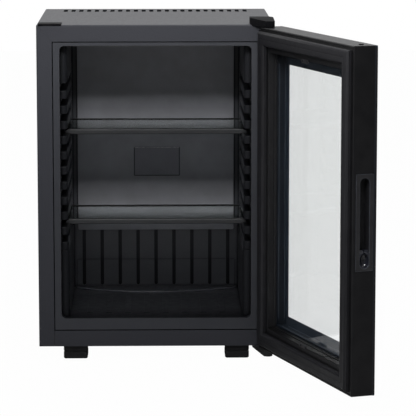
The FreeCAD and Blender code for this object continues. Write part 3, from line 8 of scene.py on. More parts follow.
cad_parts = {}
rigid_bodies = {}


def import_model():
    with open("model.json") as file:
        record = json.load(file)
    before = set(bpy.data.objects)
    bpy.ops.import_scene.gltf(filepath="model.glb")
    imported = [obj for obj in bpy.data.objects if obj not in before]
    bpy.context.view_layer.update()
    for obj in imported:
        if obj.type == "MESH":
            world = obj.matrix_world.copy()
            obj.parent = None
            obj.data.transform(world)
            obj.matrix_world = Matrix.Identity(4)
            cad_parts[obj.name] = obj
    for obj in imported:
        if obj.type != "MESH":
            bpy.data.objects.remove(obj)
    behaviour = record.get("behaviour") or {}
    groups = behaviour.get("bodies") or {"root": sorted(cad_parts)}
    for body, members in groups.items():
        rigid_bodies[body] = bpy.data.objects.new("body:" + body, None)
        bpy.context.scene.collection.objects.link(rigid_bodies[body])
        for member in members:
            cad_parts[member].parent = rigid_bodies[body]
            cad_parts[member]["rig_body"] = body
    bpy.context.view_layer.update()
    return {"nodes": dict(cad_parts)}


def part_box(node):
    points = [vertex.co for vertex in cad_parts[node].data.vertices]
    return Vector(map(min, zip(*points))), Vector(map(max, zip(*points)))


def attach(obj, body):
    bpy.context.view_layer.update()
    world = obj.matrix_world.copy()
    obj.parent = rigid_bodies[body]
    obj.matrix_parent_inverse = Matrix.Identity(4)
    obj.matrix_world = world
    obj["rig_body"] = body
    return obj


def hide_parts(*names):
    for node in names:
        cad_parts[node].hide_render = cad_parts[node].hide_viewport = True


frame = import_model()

# The fridge stands on a white studio floor with its door open, seen from in front and a little above.
# A soft strip lamp hangs in front of it, a wide one above and a third at the left. The white surroundings
# show in its gloss, less from the front than from behind.
mm = 0.001
scene = bpy.context.scene
scene.view_settings.view_transform = "Standard"

look_down, look_right = 8.7066, 1.2556
camera = bpy.data.objects.new("camera", bpy.data.cameras.new("camera"))
scene.collection.objects.link(camera)
scene.camera = camera
camera.location = (-2.2 * mm, -4121.5 * mm, 892.5 * mm)
camera.rotation_euler = (math.radians(90 - look_down), 0.0, math.radians(-look_right))
camera.data.lens = 212.88
camera.data.clip_end = 50.0


def hang_lamp(name, place, aim, width, height, power):
    """A soft rectangular lamp at one place, turned towards another and not seen itself."""
    lamp = bpy.data.objects.new(name, bpy.data.lights.new(name, "AREA"))
    scene.collection.objects.link(lamp)
    lamp.data.shape = "RECTANGLE"
    lamp.data.size = width
    lamp.data.size_y = height
    lamp.data.energy = power
    lamp.location = place
    lamp.rotation_mode = "QUATERNION"
    lamp.rotation_quaternion = (Vector(aim) - Vector(place)).to_track_quat("-Z", "Y")
    lamp.visible_camera = False


hang_lamp("front_lamp", (-0.05, -0.99, 1.03), aim=(0.0, 0.0, 0.45), width=0.60, height=0.22, power=11.2)
hang_lamp("top_lamp", (0.0, -0.1, 2.2), aim=(0.0, 0.1, 0.3), width=1.8, height=1.4, power=12.0)
hang_lamp("left_lamp", (-2.0, -1.4, 1.2), aim=(0.0, 0.0, 0.3), width=1.2, height=1.6, power=4.0)


def seen_directly(tree):
    """A socket that is 1 for what the camera sees, also through glass, and 0 for light and reflections."""
    rays = tree.nodes.new("ShaderNodeLightPath")
    seen = tree.nodes.new("ShaderNodeMath")
    seen.operation = "MAXIMUM"
    tree.links.new(rays.outputs["Is Camera Ray"], seen.inputs[0])
    tree.links.new(rays.outputs["Is Transmission Ray"], seen.inputs[1])
    return seen.outputs[0]


surroundings = bpy.data.worlds.new("surroundings")
scene.world = surroundings
surroundings.use_nodes = True
sky = surroundings.node_tree
backing = sky.nodes["Background"]
backing.inputs["Color"].default_value = (1.0, 1.0, 1.0, 1.0)
heading = sky.nodes.new("ShaderNodeTexCoord")
direction = sky.nodes.new("ShaderNodeSeparateXYZ")
sky.links.new(heading.outputs["Generated"], direction.inputs[0])
front_to_back = sky.nodes.new("ShaderNodeMapRange")
for socket, value in {"From Min": -0.3, "From Max": 0.7, "To Min": 0.18, "To Max": 1.0}.items():
    front_to_back.inputs[socket].default_value = value
sky.links.new(direction.outputs["Y"], front_to_back.inputs["Value"])
strength = sky.nodes.new("ShaderNodeMix")
sky.links.new(seen_directly(sky), strength.inputs["Factor"])
sky.links.new(front_to_back.outputs["Result"], strength.inputs["A"])
strength.inputs["B"].default_value = 1.0
sky.links.new(strength.outputs["Result"], backing.inputs["Strength"])

floor_white = 0.985
bpy.ops.object.select_all(action="DESELECT")
bpy.ops.mesh.primitive_plane_add(size=12.0, location=(0.0, 0.0, -0.2 * mm))
floor = bpy.context.object
floor.name = "studio_floor"
white_floor = bpy.data.materials.new("white_floor")
white_floor.use_nodes = True
tree = white_floor.node_tree
matte = tree.nodes["Principled BSDF"]
matte.inputs["Base Color"].default_value = (0.40, 0.40, 0.40, 1.0)
matte.inputs["Roughness"].default_value = 0.9
matte.inputs["Specular IOR Level"].default_value = 0.1
glow = tree.nodes.new("ShaderNodeEmission")
glow.inputs["Strength"].default_value = 1.0
glow_share = tree.nodes.new("ShaderNodeMath")
glow_share.operation = "MULTIPLY"
glow_share.inputs[1].default_value = floor_white
tree.links.new(seen_directly(tree), glow_share.inputs[0])
blend = tree.nodes.new("ShaderNodeMixShader")
tree.links.new(glow_share.outputs[0], blend.inputs["Fac"])
tree.links.new(matte.outputs["BSDF"], blend.inputs[1])
tree.links.new(glow.outputs["Emission"], blend.inputs[2])
tree.links.new(blend.outputs[0], tree.nodes["Material Output"].inputs["Surface"])
floor.data.materials.append(white_floor)


# Steel case: a bent wrap with its front flanges and vent slots, and a base whose front is folded up as
# the sill. Both are 0.8 mm sheet with a fine black powder coat, baked on before the case is foamed.
def new_finish(name, colour, roughness, metallic=0.0, specular=0.5):
    """A finish of one colour and gloss, ready for its grain."""
    finish = bpy.data.materials.new(name)
    finish.use_nodes = True
    shader = shader_of(finish)
    shader.inputs["Base Color"].default_value = (*colour, 1.0)
    shader.inputs["Roughness"].default_value = roughness
    shader.inputs["Metallic"].default_value = metallic
    shader.inputs["Specular IOR Level"].default_value = specular
    return finish


def shader_of(finish):
    """The shader that holds a finish's colour and gloss."""
    return finish.node_tree.nodes["Principled BSDF"]


def add_node(finish, kind, settings=None, **fields):
    """One more node in a finish, with its socket settings and its fields."""
    node = finish.node_tree.nodes.new("ShaderNode" + kind)
    for field, value in fields.items():
        setattr(node, field, value)
    for socket, value in (settings or {}).items():
        node.inputs[socket].default_value = value
    return node


def join(finish, source, socket, target, entry):
    """Lead one node's output into another node's input."""
    finish.node_tree.links.new(source.outputs[socket], target.inputs[entry])


def piece_place(finish, stretch=(1.0, 1.0, 1.0)):
    """The place on the piece, in metres, stretched where the grain runs one way."""
    place = add_node(finish, "TexCoord")
    mapping = add_node(finish, "Mapping", {"Scale": stretch})
    join(finish, place, "Object", mapping, "Vector")
    return mapping


def noise(finish, size, detail=3.0, stretch=(1.0, 1.0, 1.0)):
    """A cloudy pattern whose patches are about this size."""
    pattern = add_node(finish, "TexNoise", {"Scale": 1.0 / size, "Detail": detail})
    join(finish, piece_place(finish, stretch), "Vector", pattern, "Vector")
    return pattern


def raise_by(finish, pattern, socket, height):
    """The pattern stands up from the surface by this height; a second one adds to the first."""
    shader = shader_of(finish)
    bump = add_node(finish, "Bump", {"Distance": height, "Strength": 1.0})
    join(finish, pattern, socket, bump, "Height")
    if shader.inputs["Normal"].is_linked:
        earlier = shader.inputs["Normal"].links[0].from_node
        join(finish, earlier, "Normal", bump, "Normal")
    join(finish, bump, "Normal", shader, "Normal")


def vary(finish, pattern, socket, dark, light, low=0.35, high=0.65):
    """The colour goes from dark to light over the pattern."""
    ramp = add_node(finish, "ValToRGB")
    ramp.color_ramp.elements[0].position = low
    ramp.color_ramp.elements[0].color = (*dark, 1.0)
    ramp.color_ramp.elements[1].position = high
    ramp.color_ramp.elements[1].color = (*light, 1.0)
    join(finish, pattern, socket, ramp, "Fac")
    join(finish, ramp, "Color", shader_of(finish), "Base Color")


def rescale(finish, source, socket, start, end, first, last):
    """A node that goes from the first to the last value while its source goes from start to end."""
    span = {"From Min": start, "From Max": end, "To Min": first, "To Max": last}
    scale = add_node(finish, "MapRange", span)
    join(finish, source, socket, scale, "Value")
    return scale


def dull(finish, pattern, least, most):
    """The roughness goes from least to most over a cloudy pattern."""
    low, high = 0.3, 0.7
    roughness = rescale(finish, pattern, "Fac", low, high, least, most)
    join(finish, roughness, "Result", shader_of(finish), "Roughness")


def darken(finish, share):
    """Lower a finish's colour to this share of what it was, and its gloss too where it has much of it."""
    shader = shader_of(finish)
    links = finish.node_tree.links
    colour = add_node(finish, "Mix", {"Factor": 1.0}, data_type="RGBA", blend_type="MULTIPLY")
    links.new(shader.inputs["Base Color"].links[0].from_socket, colour.inputs[6])
    links.new(share.outputs["Result"], colour.inputs[7])
    links.new(colour.outputs[2], shader.inputs["Base Color"])
    gloss = shader.inputs["Specular IOR Level"]
    if gloss.default_value < 0.35:
        return
    lowered = add_node(finish, "Math", {0: gloss.default_value}, operation="MULTIPLY")
    if gloss.is_linked:
        links.new(gloss.links[0].from_socket, lowered.inputs[0])
    join(finish, share, "Result", lowered, 1)
    links.new(lowered.outputs["Value"], gloss)


def paint_crease_shade(finish, reach, least, alone=True):
    """Painted shade: grooves and inner corners within this reach are darker, down to this share. Where it
    isn't alone, the pieces beside it darken it as well."""
    closed, open_air = 0.45, 0.92
    openness = add_node(finish, "AmbientOcclusion", {"Distance": reach}, samples=8, only_local=alone)
    darken(finish, rescale(finish, openness, "AO", closed, open_air, least, 1.0))


def paint_light_grade(finish, axis, start, end, first, last, source="Object"):
    """Painted light and shade: along one axis of the piece the finish goes from the first to the last share,
    with X counted from the middle. With the normal as its source, the share follows the way that the surface
    faces."""
    place = add_node(finish, "SeparateXYZ")
    join(finish, add_node(finish, "TexCoord"), source, place, "Vector")
    outward = add_node(finish, "Math", operation="ABSOLUTE")
    join(finish, place, axis, outward, 0)
    darken(finish, rescale(finish, outward, "Value", start, end, first, last))


def dress(finish, *names):
    """Give CAD nodes their finish."""
    for name in names:
        for holder in frame["nodes"][name].material_slots:
            holder.material = finish


case_foot, case_top = 0.0, 500 * mm
powder_coat = new_finish("powder_coat", (0.028, 0.029, 0.034), 0.46, specular=0.3)
coat_grain = noise(powder_coat, 0.9 * mm)
vary(powder_coat, coat_grain, "Fac", (0.019, 0.020, 0.026), (0.038, 0.040, 0.050))
raise_by(powder_coat, coat_grain, "Fac", 0.10 * mm)
raise_by(powder_coat, noise(powder_coat, 2.8 * mm), "Fac", 0.22 * mm)
dull(powder_coat, noise(powder_coat, 5 * mm), 0.44, 0.50)
# Painted shade in its creases, and painted shade towards its foot, as the light comes from above.
paint_crease_shade(powder_coat, 3 * mm, 0.25)
paint_light_grade(powder_coat, "Z", case_foot, case_top, 0.72, 1.0)
dress(powder_coat, "outer_shell", "base_panel")


# Rear bulkhead, boiler casing and the cooling unit's two straps: bare galvanised sheet, spangled and a
# little dull. The bulkhead closes the foam in behind, the casing wraps the boiler's insulation, and the
# straps carry the unit on the shell's side walls.
def cells(finish, size):
    """A pattern of cells of about this size."""
    pattern = add_node(finish, "TexVoronoi", {"Scale": 1.0 / size})
    join(finish, piece_place(finish), "Vector", pattern, "Vector")
    return pattern


galvanised = new_finish("galvanised", (0.46, 0.48, 0.50), 0.38, metallic=1.0)
spangle = cells(galvanised, 9 * mm)
vary(galvanised, spangle, "Color", (0.36, 0.38, 0.40), (0.58, 0.60, 0.62), 0.1, 0.9)
dull(galvanised, noise(galvanised, 25 * mm), 0.30, 0.50)
raise_by(galvanised, noise(galvanised, 1.5 * mm), "Fac", 0.02 * mm)
dress(galvanised, "rear_bulkhead", "unit_straps", "boiler_casing")

# Liner: one tub of black polystyrene with its shelf runners, grooved rear wall, ledge and floor ribs.
# It is vacuum-formed, so it is semi-gloss and draws a little wavy between its ribs.
liner_sheet = new_finish("liner_sheet", (0.085, 0.089, 0.104), 0.38, specular=0.45)
raise_by(liner_sheet, noise(liner_sheet, 45 * mm, 1.0), "Fac", 0.05 * mm)
raise_by(liner_sheet, noise(liner_sheet, 0.7 * mm), "Fac", 0.02 * mm)
vary(liner_sheet, noise(liner_sheet, 60 * mm), "Fac", (0.080, 0.084, 0.099), (0.090, 0.094, 0.109))
dull(liner_sheet, noise(liner_sheet, 12 * mm), 0.34, 0.42)
# Painted shade in its grooves and inner corners.
paint_crease_shade(liner_sheet, 7 * mm, 0.30)

# Painted light and shade by depth. Each row is a stretch of depth in millimetres and the shares at its ends:
# from the front flange to the runners' noses, along the side walls, on to the rear wall, and down to the
# bottoms of its grooves, dark at the front and in the grooves and light towards the back.
for start, end, first, last in [(6, 16, 0.42, 0.15), (40, 110, 1.0, 3.2), (230, 300, 1.0, 3.1),
                                (302.0, 303.5, 1.0, 0.40)]:
    paint_light_grade(liner_sheet, "Y", start * mm, end * mm, first, last)

# Painted shade: the floor and the ceiling are darker than the walls, and the foot darker than the top. A
# painted shadow line shows where the flange goes behind the steel.
paint_light_grade(liner_sheet, "Z", 0.97, 0.99, 1.0, 0.50, "Normal")
paint_light_grade(liner_sheet, "Z", 250 * mm, 500 * mm, 0.90, 1.15)
liner_low, liner_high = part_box("inner_liner")
steel_lap, lap_shadow_width, lap_shadow_share = 7.2 * mm, 0.1 * mm, 0.05
for axis, edge in (("X", liner_high.x - steel_lap), ("Z", liner_high.z - steel_lap)):
    paint_light_grade(liner_sheet, axis, edge, edge + lap_shadow_width, 1.0, lap_shadow_share)
lower_edge = liner_low.z + steel_lap
paint_light_grade(liner_sheet, "Z", lower_edge - lap_shadow_width, lower_edge, lap_shadow_share, 1.0)
dress(liner_sheet, "inner_liner")

# Foam: poured between shell and liner, in the door frame, round the boiler and in the tube's plug.
# It is a pale rigid foam of small closed cells, with painted shade where it meets the front flange, and none
# of it shows once the fridge is together.
foam = new_finish("foam", (0.78, 0.70, 0.48), 0.9)
bubbles = cells(foam, 1.2 * mm)
vary(foam, bubbles, "Distance", (0.84, 0.77, 0.56), (0.66, 0.58, 0.38), 0.0, 0.8)
raise_by(foam, bubbles, "Distance", 0.4 * mm)
paint_light_grade(foam, "Y", 2.0 * mm, 3.0 * mm, 0.02, 1.0)
dress(foam, "insulation_foam", "door_core", "boiler_insulation", "evaporator_plug")

# Cold plate: an aluminium tray that stands off the rear wall, with the cold tube clamped to its back.
# Its enamel is satin black with a light orange peel.
plate_enamel = new_finish("plate_enamel", (0.26, 0.264, 0.29), 0.45)
raise_by(plate_enamel, noise(plate_enamel, 2.6 * mm), "Fac", 0.16 * mm)
vary(plate_enamel, noise(plate_enamel, 30 * mm), "Fac", (0.245, 0.249, 0.272), (0.275, 0.280, 0.308))
dull(plate_enamel, noise(plate_enamel, 18 * mm), 0.42, 0.50)
raise_by(plate_enamel, noise(plate_enamel, 1.0 * mm, 4.0), "Fac", 0.05 * mm)
# Painted shade in its corners and beside the pieces that stand on it.
paint_crease_shade(plate_enamel, 4 * mm, 0.20, alone=False)

# Painted light and shade in the bays. Each row is a stretch of height in millimetres and the shares at its
# ends: the top bay, just under the upper shelf, the foot of the middle bay, and the strip under the lower
# shelf.
for start, end, first, last in [(400, 440, 1.0, 1.70), (378, 381, 1.22, 1.0), (240, 290, 0.64, 1.0),
                                (222, 225, 1.80, 1.0)]:
    paint_light_grade(plate_enamel, "Z", start * mm, end * mm, first, last)
dress(plate_enamel, "cold_plate")


# Sensor plate: a flat pressing on the cold plate, in front of the temperature sensor, in the same enamel.
# Its rim is folded back a little on the real plate but is drawn flat here, with painted shade all round and a
# painted highlight along the top, where it catches the lamp.
def surface_finish(name, dark, light, patch, roughness, gloss_patch=None, grain=None, rise=0.0,
                   metallic=0.0, specular=0.5):
    """A finish whose colour drifts from dark to light over patches of one size, and its roughness, where
    it has a least and a most, over patches of another. A fine grain can stand up from it."""
    least, most = roughness if gloss_patch else (roughness, roughness)
    finish = new_finish(name, dark, least, metallic, specular)
    if grain:
        raise_by(finish, noise(finish, grain), "Fac", rise)
    vary(finish, noise(finish, patch), "Fac", dark, light)
    if gloss_patch:
        dull(finish, noise(finish, gloss_patch), least, most)
    return finish


def finish_piece(piece, finish, slot, *nodes):
    """Paint a new piece and let it ride in the place of the CAD nodes that it stands for."""
    piece.data.materials.clear()
    piece.data.materials.append(finish)
    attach(piece, frame["nodes"][nodes[0]]["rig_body"])
    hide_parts(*nodes)


def pick_faces(piece, test):
    """In edit mode, select the faces whose middle and direction pass the test."""
    bpy.ops.mesh.select_all(action="DESELECT")
    bpy.ops.mesh.select_mode(type="FACE")
    shape = bmesh.from_edit_mesh(piece.data)
    for face in shape.faces:
        face.select_set(test(face.calc_center_median(), face.normal))
    bmesh.update_edit_mesh(piece.data)


def paint_faces(piece, finish, test):
    """Give one more finish to the faces of a piece that pass the test."""
    piece.data.materials.append(finish)
    number = len(piece.data.materials) - 1
    for face in piece.data.polygons:
        if test(face):
            face.material_index = number


rim_width, rim_step, rim_highlight_reach = 1.1 * mm, 0.3 * mm, 3 * mm
cover_enamel = surface_finish(
    "cover_enamel", (0.240, 0.244, 0.274), (0.262, 0.266, 0.298), patch=20 * mm,
    roughness=(0.46, 0.54), gloss_patch=12 * mm, grain=3.0 * mm, rise=0.02 * mm, specular=0.4)
rim_shadow = surface_finish(
    "rim_shadow", (0.018, 0.018, 0.020), (0.024, 0.024, 0.027), patch=4 * mm, roughness=0.6, specular=0.1)
rim_light = surface_finish(
    "rim_light", (0.30, 0.30, 0.32), (0.62, 0.62, 0.64), patch=6 * mm, roughness=0.35)
cover_low, cover_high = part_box("sensor_cover")
bpy.ops.object.select_all(action="DESELECT")
bpy.ops.mesh.primitive_cube_add(size=1.0, location=(cover_low + cover_high) / 2)
sensor_plate = bpy.context.object
sensor_plate.name = "sensor_plate"
sensor_plate.scale = cover_high - cover_low
bpy.ops.object.transform_apply(location=True, rotation=True, scale=True)
bpy.ops.object.mode_set(mode="EDIT")
pick_faces(sensor_plate, lambda middle, way: way.y < -0.9)
for width in (rim_width, rim_step, rim_step):
    bpy.ops.mesh.inset(thickness=width, depth=0.0)
bpy.ops.object.mode_set(mode="OBJECT")
finish_piece(sensor_plate, cover_enamel, "plate_paint", "sensor_cover")


def on_rim(face, upper):
    """Whether a face of the sensor plate is part of its rim, along the top or elsewhere."""
    place = face.center
    from_side = min(place.x - cover_low.x, cover_high.x - place.x)
    from_end = min(place.z - cover_low.z, cover_high.z - place.z)
    near_edge = min(from_side, from_end) < 1.0 * mm
    return near_edge and (place.z > cover_high.z - rim_highlight_reach) == upper


paint_faces(sensor_plate, rim_shadow, lambda face: on_rim(face, upper=False))
paint_faces(sensor_plate, rim_light, lambda face: on_rim(face, upper=True))

# Turned steel: the hinge pins, the sensor's bulb and the heater, left bare.
# They keep the fine rings of the tool.
turned_steel = new_finish("turned_steel", (0.52, 0.52, 0.53), 0.28, metallic=1.0)
rings = noise(turned_steel, 1.0 * mm, 2.0, (0.2, 0.2, 4.0))
raise_by(turned_steel, rings, "Fac", 0.02 * mm)
vary(turned_steel, rings, "Fac", (0.46, 0.46, 0.47), (0.58, 0.58, 0.59))
dull(turned_steel, noise(turned_steel, 6 * mm), 0.22, 0.36)
dress(turned_steel, "temperature_sensor", "heater_cartridge", "upper_hinge_pin", "lower_hinge_pin")

# Screws: eight pan heads hold the hinge brackets and four cheese heads the feet. They are steel with a
# cross recess, plated with zinc.
zinc_plate = surface_finish(
    "zinc_plate", (0.42, 0.42, 0.41), (0.56, 0.56, 0.57), patch=3 * mm,
    roughness=(0.24, 0.42), gloss_patch=1.5 * mm, grain=0.4 * mm, rise=0.01 * mm, metallic=1.0)
merge_reach = 0.004 * mm


def separate_solids(node):
    """The corners of each solid in a CAD node, one list for each."""
    shape = bmesh.new()
    shape.from_mesh(frame["nodes"][node].data)
    bmesh.ops.remove_doubles(shape, verts=shape.verts, dist=merge_reach)
    left = set(shape.verts)
    solids = []
    for start in shape.verts:
        if start not in left:
            continue
        left.remove(start)
        group = [start]
        for vertex in group:
            for edge in vertex.link_edges:
                other = edge.other_vert(vertex)
                if other in left:
                    left.remove(other)
                    group.append(other)
        solids.append([vertex.co.copy() for vertex in group])
    shape.free()
    return solids


def corners_of(places):
    """The lowest and the highest corner of the box round some places."""
    low = Vector(min(place[axis] for place in places) for axis in range(3))
    high = Vector(max(place[axis] for place in places) for axis in range(3))
    return low, high


def widen(share):
    """Scale what is selected about the screw's axis."""
    bpy.ops.transform.resize(value=(share, share, 1.0), center_override=(0.0, 0.0, 0.0))


def cross_screw(name, head_radius, head_height, shank_radius, length, dome):
    """A screw with a cross recess, head up, the underside of its head at the origin."""
    tip = 0.4 * shank_radius
    arm, reach, sink = 0.13 * head_radius, 0.52 * head_radius, 0.55 * head_height
    bpy.ops.object.select_all(action="DESELECT")
    bpy.ops.mesh.primitive_cylinder_add(vertices=32, radius=shank_radius, depth=length, end_fill_type="NGON")
    screw = bpy.context.object
    screw.name = name
    screw.location = (0.0, 0.0, -length / 2)
    bpy.ops.object.transform_apply(location=True)
    bpy.ops.object.mode_set(mode="EDIT")
    pick_faces(screw, lambda middle, way: way.z < -0.9)
    bpy.ops.mesh.inset(thickness=0.25 * shank_radius, depth=tip)
    bpy.ops.transform.translate(value=(0.0, 0.0, tip))
    pick_faces(screw, lambda middle, way: way.z > 0.9)
    bpy.ops.mesh.extrude_region()
    widen(head_radius / shank_radius)
    bpy.ops.mesh.extrude_region()
    bpy.ops.transform.translate(value=(0.0, 0.0, head_height - dome))
    for rise, share in ((0.65 * dome, 0.88), (0.35 * dome, 0.76)):
        bpy.ops.mesh.extrude_region()
        bpy.ops.transform.translate(value=(0.0, 0.0, rise))
        widen(share)
    bpy.ops.mesh.delete(type="ONLY_FACE")
    shape = bmesh.from_edit_mesh(screw.data)
    outline = [(reach, -arm), (reach, arm), (arm, arm), (arm, reach), (-arm, reach), (-arm, arm),
               (-reach, arm), (-reach, -arm), (-arm, -arm), (-arm, -reach), (arm, -reach), (arm, -arm)]
    shape.faces.new([shape.verts.new((x, y, head_height)) for x, y in outline])
    bmesh.update_edit_mesh(screw.data)
    pick_faces(screw, lambda middle, way: middle.xy.length < 0.01 * mm and middle.z > 0.9 * head_height)
    bpy.ops.mesh.extrude_region()
    bpy.ops.transform.translate(value=(0.0, 0.0, -sink))
    widen(0.8)
    bpy.ops.mesh.select_mode(type="EDGE")
    bpy.ops.mesh.select_all(action="DESELECT")
    bpy.ops.mesh.select_non_manifold()
    bpy.ops.mesh.bridge_edge_loops()
    bpy.ops.mesh.select_all(action="SELECT")
    bpy.ops.mesh.normals_make_consistent(inside=False)
    bpy.ops.object.mode_set(mode="OBJECT")
    bpy.ops.object.shade_smooth_by_angle(angle=math.radians(40))
    return screw


def set_screws(node, name, head_radius, head_height, shank_radius, dome):
    """One modelled screw and its copies, each in the place of a CAD screw and with its head the same way
    up. Each is driven home at an angle of its own."""
    drive_step = 0.7
    solids = separate_solids(node)
    low, high = corners_of(solids[0])
    pattern = cross_screw(name, head_radius, head_height, shank_radius, high.z - low.z - head_height, dome)
    for number, corners in enumerate(solids):
        low, high = corners_of(corners)
        middle = (low + high) / 2
        widest = [corner.z for corner in corners if abs(corner.x - middle.x) > head_radius - 0.05 * mm]
        head_up = sum(widest) / len(widest) > middle.z
        screw = pattern.copy()
        screw.data = pattern.data.copy()
        scene.collection.objects.link(screw)
        screw.name = name + "_" + str(number + 1)
        driven = Matrix.Rotation(drive_step * number, 4, "Z")
        turned = Matrix.Rotation(0.0 if head_up else math.pi, 4, "X") @ driven
        seat = high.z - head_height if head_up else low.z + head_height
        screw.data.transform(Matrix.Translation((middle.x, middle.y, seat)) @ turned)
        finish_piece(screw, zinc_plate, "screw_steel", node)
    bpy.data.objects.remove(pattern)


set_screws("hinge_screws", "hinge_screw", head_radius=3.6 * mm, head_height=2.4 * mm, shank_radius=1.9 * mm,
           dome=1.2 * mm)
set_screws("foot_screws", "foot_screw", head_radius=5.0 * mm, head_height=3.0 * mm, shank_radius=2.5 * mm,
           dome=0.6 * mm)


# Feet: four black moulded blocks with a narrow neck, each screwed up into the base from below.
# A rubber pad under the neck keeps the fridge from sliding.
def keep_flat(piece):
    """The broad faces of a smoothed piece stay flat, and only its narrow ones look round."""
    flat_faces = piece.modifiers.new("flat_faces", "WEIGHTED_NORMAL")
    flat_faces.keep_sharp = True
    flat_faces.weight = 100
    bpy.ops.object.modifier_apply(modifier="flat_faces")


def rounded_copy(node, finish, slot, width, segments=2):
    """A CAD node's shape with its triangles merged into faces and its sharp edges rounded."""
    sharp = math.radians(35)
    bpy.ops.object.select_all(action="DESELECT")
    piece = bpy.data.objects.new(node + "_finished", frame["nodes"][node].data.copy())
    scene.collection.objects.link(piece)
    piece.select_set(True)
    bpy.context.view_layer.objects.active = piece
    bpy.ops.object.mode_set(mode="EDIT")
    bpy.ops.mesh.customdata_custom_splitnormals_clear()
    bpy.ops.mesh.select_all(action="SELECT")
    bpy.ops.mesh.remove_doubles(threshold=merge_reach)
    bpy.ops.mesh.dissolve_limited(angle_limit=math.radians(1))
    bpy.ops.object.mode_set(mode="OBJECT")
    rounding = piece.modifiers.new("rounding", "BEVEL")
    rounding.width = width
    rounding.segments = segments
    rounding.angle_limit = sharp
    bpy.ops.object.modifier_apply(modifier="rounding")
    bpy.ops.object.shade_smooth_by_angle(angle=sharp)
    keep_flat(piece)
    finish_piece(piece, finish, slot, node)
    return piece


foot_moulding = surface_finish(
    "foot_moulding", (0.005, 0.005, 0.006), (0.009, 0.009, 0.010), patch=8 * mm,
    roughness=(0.38, 0.52), gloss_patch=5 * mm, grain=0.5 * mm, rise=0.05 * mm, specular=0.2)
rounded_copy("feet", foot_moulding, "foot_plastic", 0.5 * mm)
pad_rubber = surface_finish(
    "pad_rubber", (0.006, 0.006, 0.007), (0.010, 0.010, 0.011), patch=5 * mm,
    roughness=(0.50, 0.72), gloss_patch=4 * mm, grain=0.8 * mm, rise=0.06 * mm, specular=0.2)
rounded_copy("foot_pads", pad_rubber, "foot_rubber", 0.5 * mm)

# Hinge brackets: pressed steel painted black, one on the cabinet's top and one under its base.
# Each is held by four of the pan-head screws and carries a pin that the door turns on.
hinge_paint = surface_finish(
    "hinge_paint", (0.013, 0.013, 0.014), (0.022, 0.022, 0.024), patch=10 * mm,
    roughness=(0.28, 0.42), gloss_patch=6 * mm, grain=1.4 * mm, rise=0.05 * mm)
for node in ("upper_hinge_bracket", "lower_hinge_bracket"):
    rounded_copy(node, hinge_paint, "hinge_paint", 0.4 * mm)

# Small dull black mouldings: the cover that hides the upper hinge's screws, and the blanking plate and
# plugs that close the holes which serve when the door is hung the other way. All of them press on.
cover_moulding = surface_finish(
    "cover_moulding", (0.003, 0.003, 0.004), (0.006, 0.006, 0.007), patch=9 * mm,
    roughness=(0.58, 0.68), gloss_patch=7 * mm, grain=0.45 * mm, rise=0.05 * mm, specular=0.04)
for node, width in (("upper_hinge_cover", 0.6 * mm), ("blanking_plate", 0.2 * mm), ("pivot_plugs", 0.4 * mm)):
    rounded_copy(node, cover_moulding, "cover_plastic", width)

# Cooling unit: steel tube, boiler, gas exchanger and vessel, welded into one closed circuit.
# All of it is brushed with heat-resistant black paint.
unit_paint = new_finish("unit_paint", (0.022, 0.022, 0.024), 0.48)
brush_marks = noise(unit_paint, 5 * mm)
raise_by(unit_paint, brush_marks, "Fac", 0.15 * mm)
raise_by(unit_paint, noise(unit_paint, 0.8 * mm), "Fac", 0.04 * mm)
vary(unit_paint, brush_marks, "Fac", (0.016, 0.016, 0.018), (0.034, 0.033, 0.034))
dull(unit_paint, noise(unit_paint, 9 * mm), 0.38, 0.60)
dress(unit_paint, "boiler_tube", "condenser_tube", "evaporator_tube", "gas_exchanger", "absorber_coil",
      "absorber_vessel", "liquor_pipe")

# Condenser fins and the clamps of the cold tube: bare rolled aluminium, with lines along the roll.
# The fins are pressed on to the condenser's tube.
rolled_aluminium = new_finish("rolled_aluminium", (0.66, 0.67, 0.68), 0.34, metallic=1.0)
roll_lines = noise(rolled_aluminium, 1.0 * mm, 2.0, (1.0, 1.0, 0.05))
raise_by(rolled_aluminium, roll_lines, "Fac", 0.02 * mm)
vary(rolled_aluminium, roll_lines, "Fac", (0.58, 0.59, 0.60), (0.74, 0.75, 0.76))
dull(rolled_aluminium, noise(rolled_aluminium, 8 * mm), 0.28, 0.44)
dress(rolled_aluminium, "condenser_fins", "evaporator_clamps")

# Controls: a black moulded box at the back with the thermostat's dial and the power inlet.
# The heater's lead leaves it in a grey sleeve and runs along the bulkhead.
control_moulding = surface_finish(
    "control_moulding", (0.019, 0.019, 0.021), (0.030, 0.030, 0.032), patch=12 * mm,
    roughness=(0.36, 0.50), gloss_patch=7 * mm, grain=0.5 * mm, rise=0.06 * mm)
for node, width in (("control_box", 0.8 * mm), ("thermostat_dial", 0.3 * mm), ("power_inlet", 0.3 * mm)):
    rounded_copy(node, control_moulding, "control_plastic", width)
lead_sleeve = surface_finish(
    "lead_sleeve", (0.19, 0.19, 0.20), (0.26, 0.26, 0.27), patch=6 * mm,
    roughness=(0.48, 0.64), gloss_patch=5 * mm, grain=0.6 * mm, rise=0.05 * mm)
dress(lead_sleeve, "heater_lead")


# Shelves: two clear glass plates, each with a moulded rail pushed on to its front and its rear edge.
# The rails are dark grey; the rear ones are painted darker as shade, as they stand in the shade of the cold
# plate.
def make_clear(finish, bending, tint):
    """Turn a finish into glass that also lets the lamps' light through, a little tinted."""
    shader = shader_of(finish)
    shader.inputs["Transmission Weight"].default_value = 1.0
    shader.inputs["IOR"].default_value = bending
    passing = add_node(finish, "BsdfTransparent", {"Color": (*tint, 1.0)})
    rays = add_node(finish, "LightPath")
    lit = add_node(finish, "Math", operation="MAXIMUM")
    join(finish, rays, "Is Shadow Ray", lit, 0)
    join(finish, rays, "Is Diffuse Ray", lit, 1)
    either = add_node(finish, "MixShader")
    join(finish, lit, "Value", either, "Fac")
    join(finish, shader, "BSDF", either, 1)
    join(finish, passing, "BSDF", either, 2)
    join(finish, either, "Shader", finish.node_tree.nodes["Material Output"], "Surface")


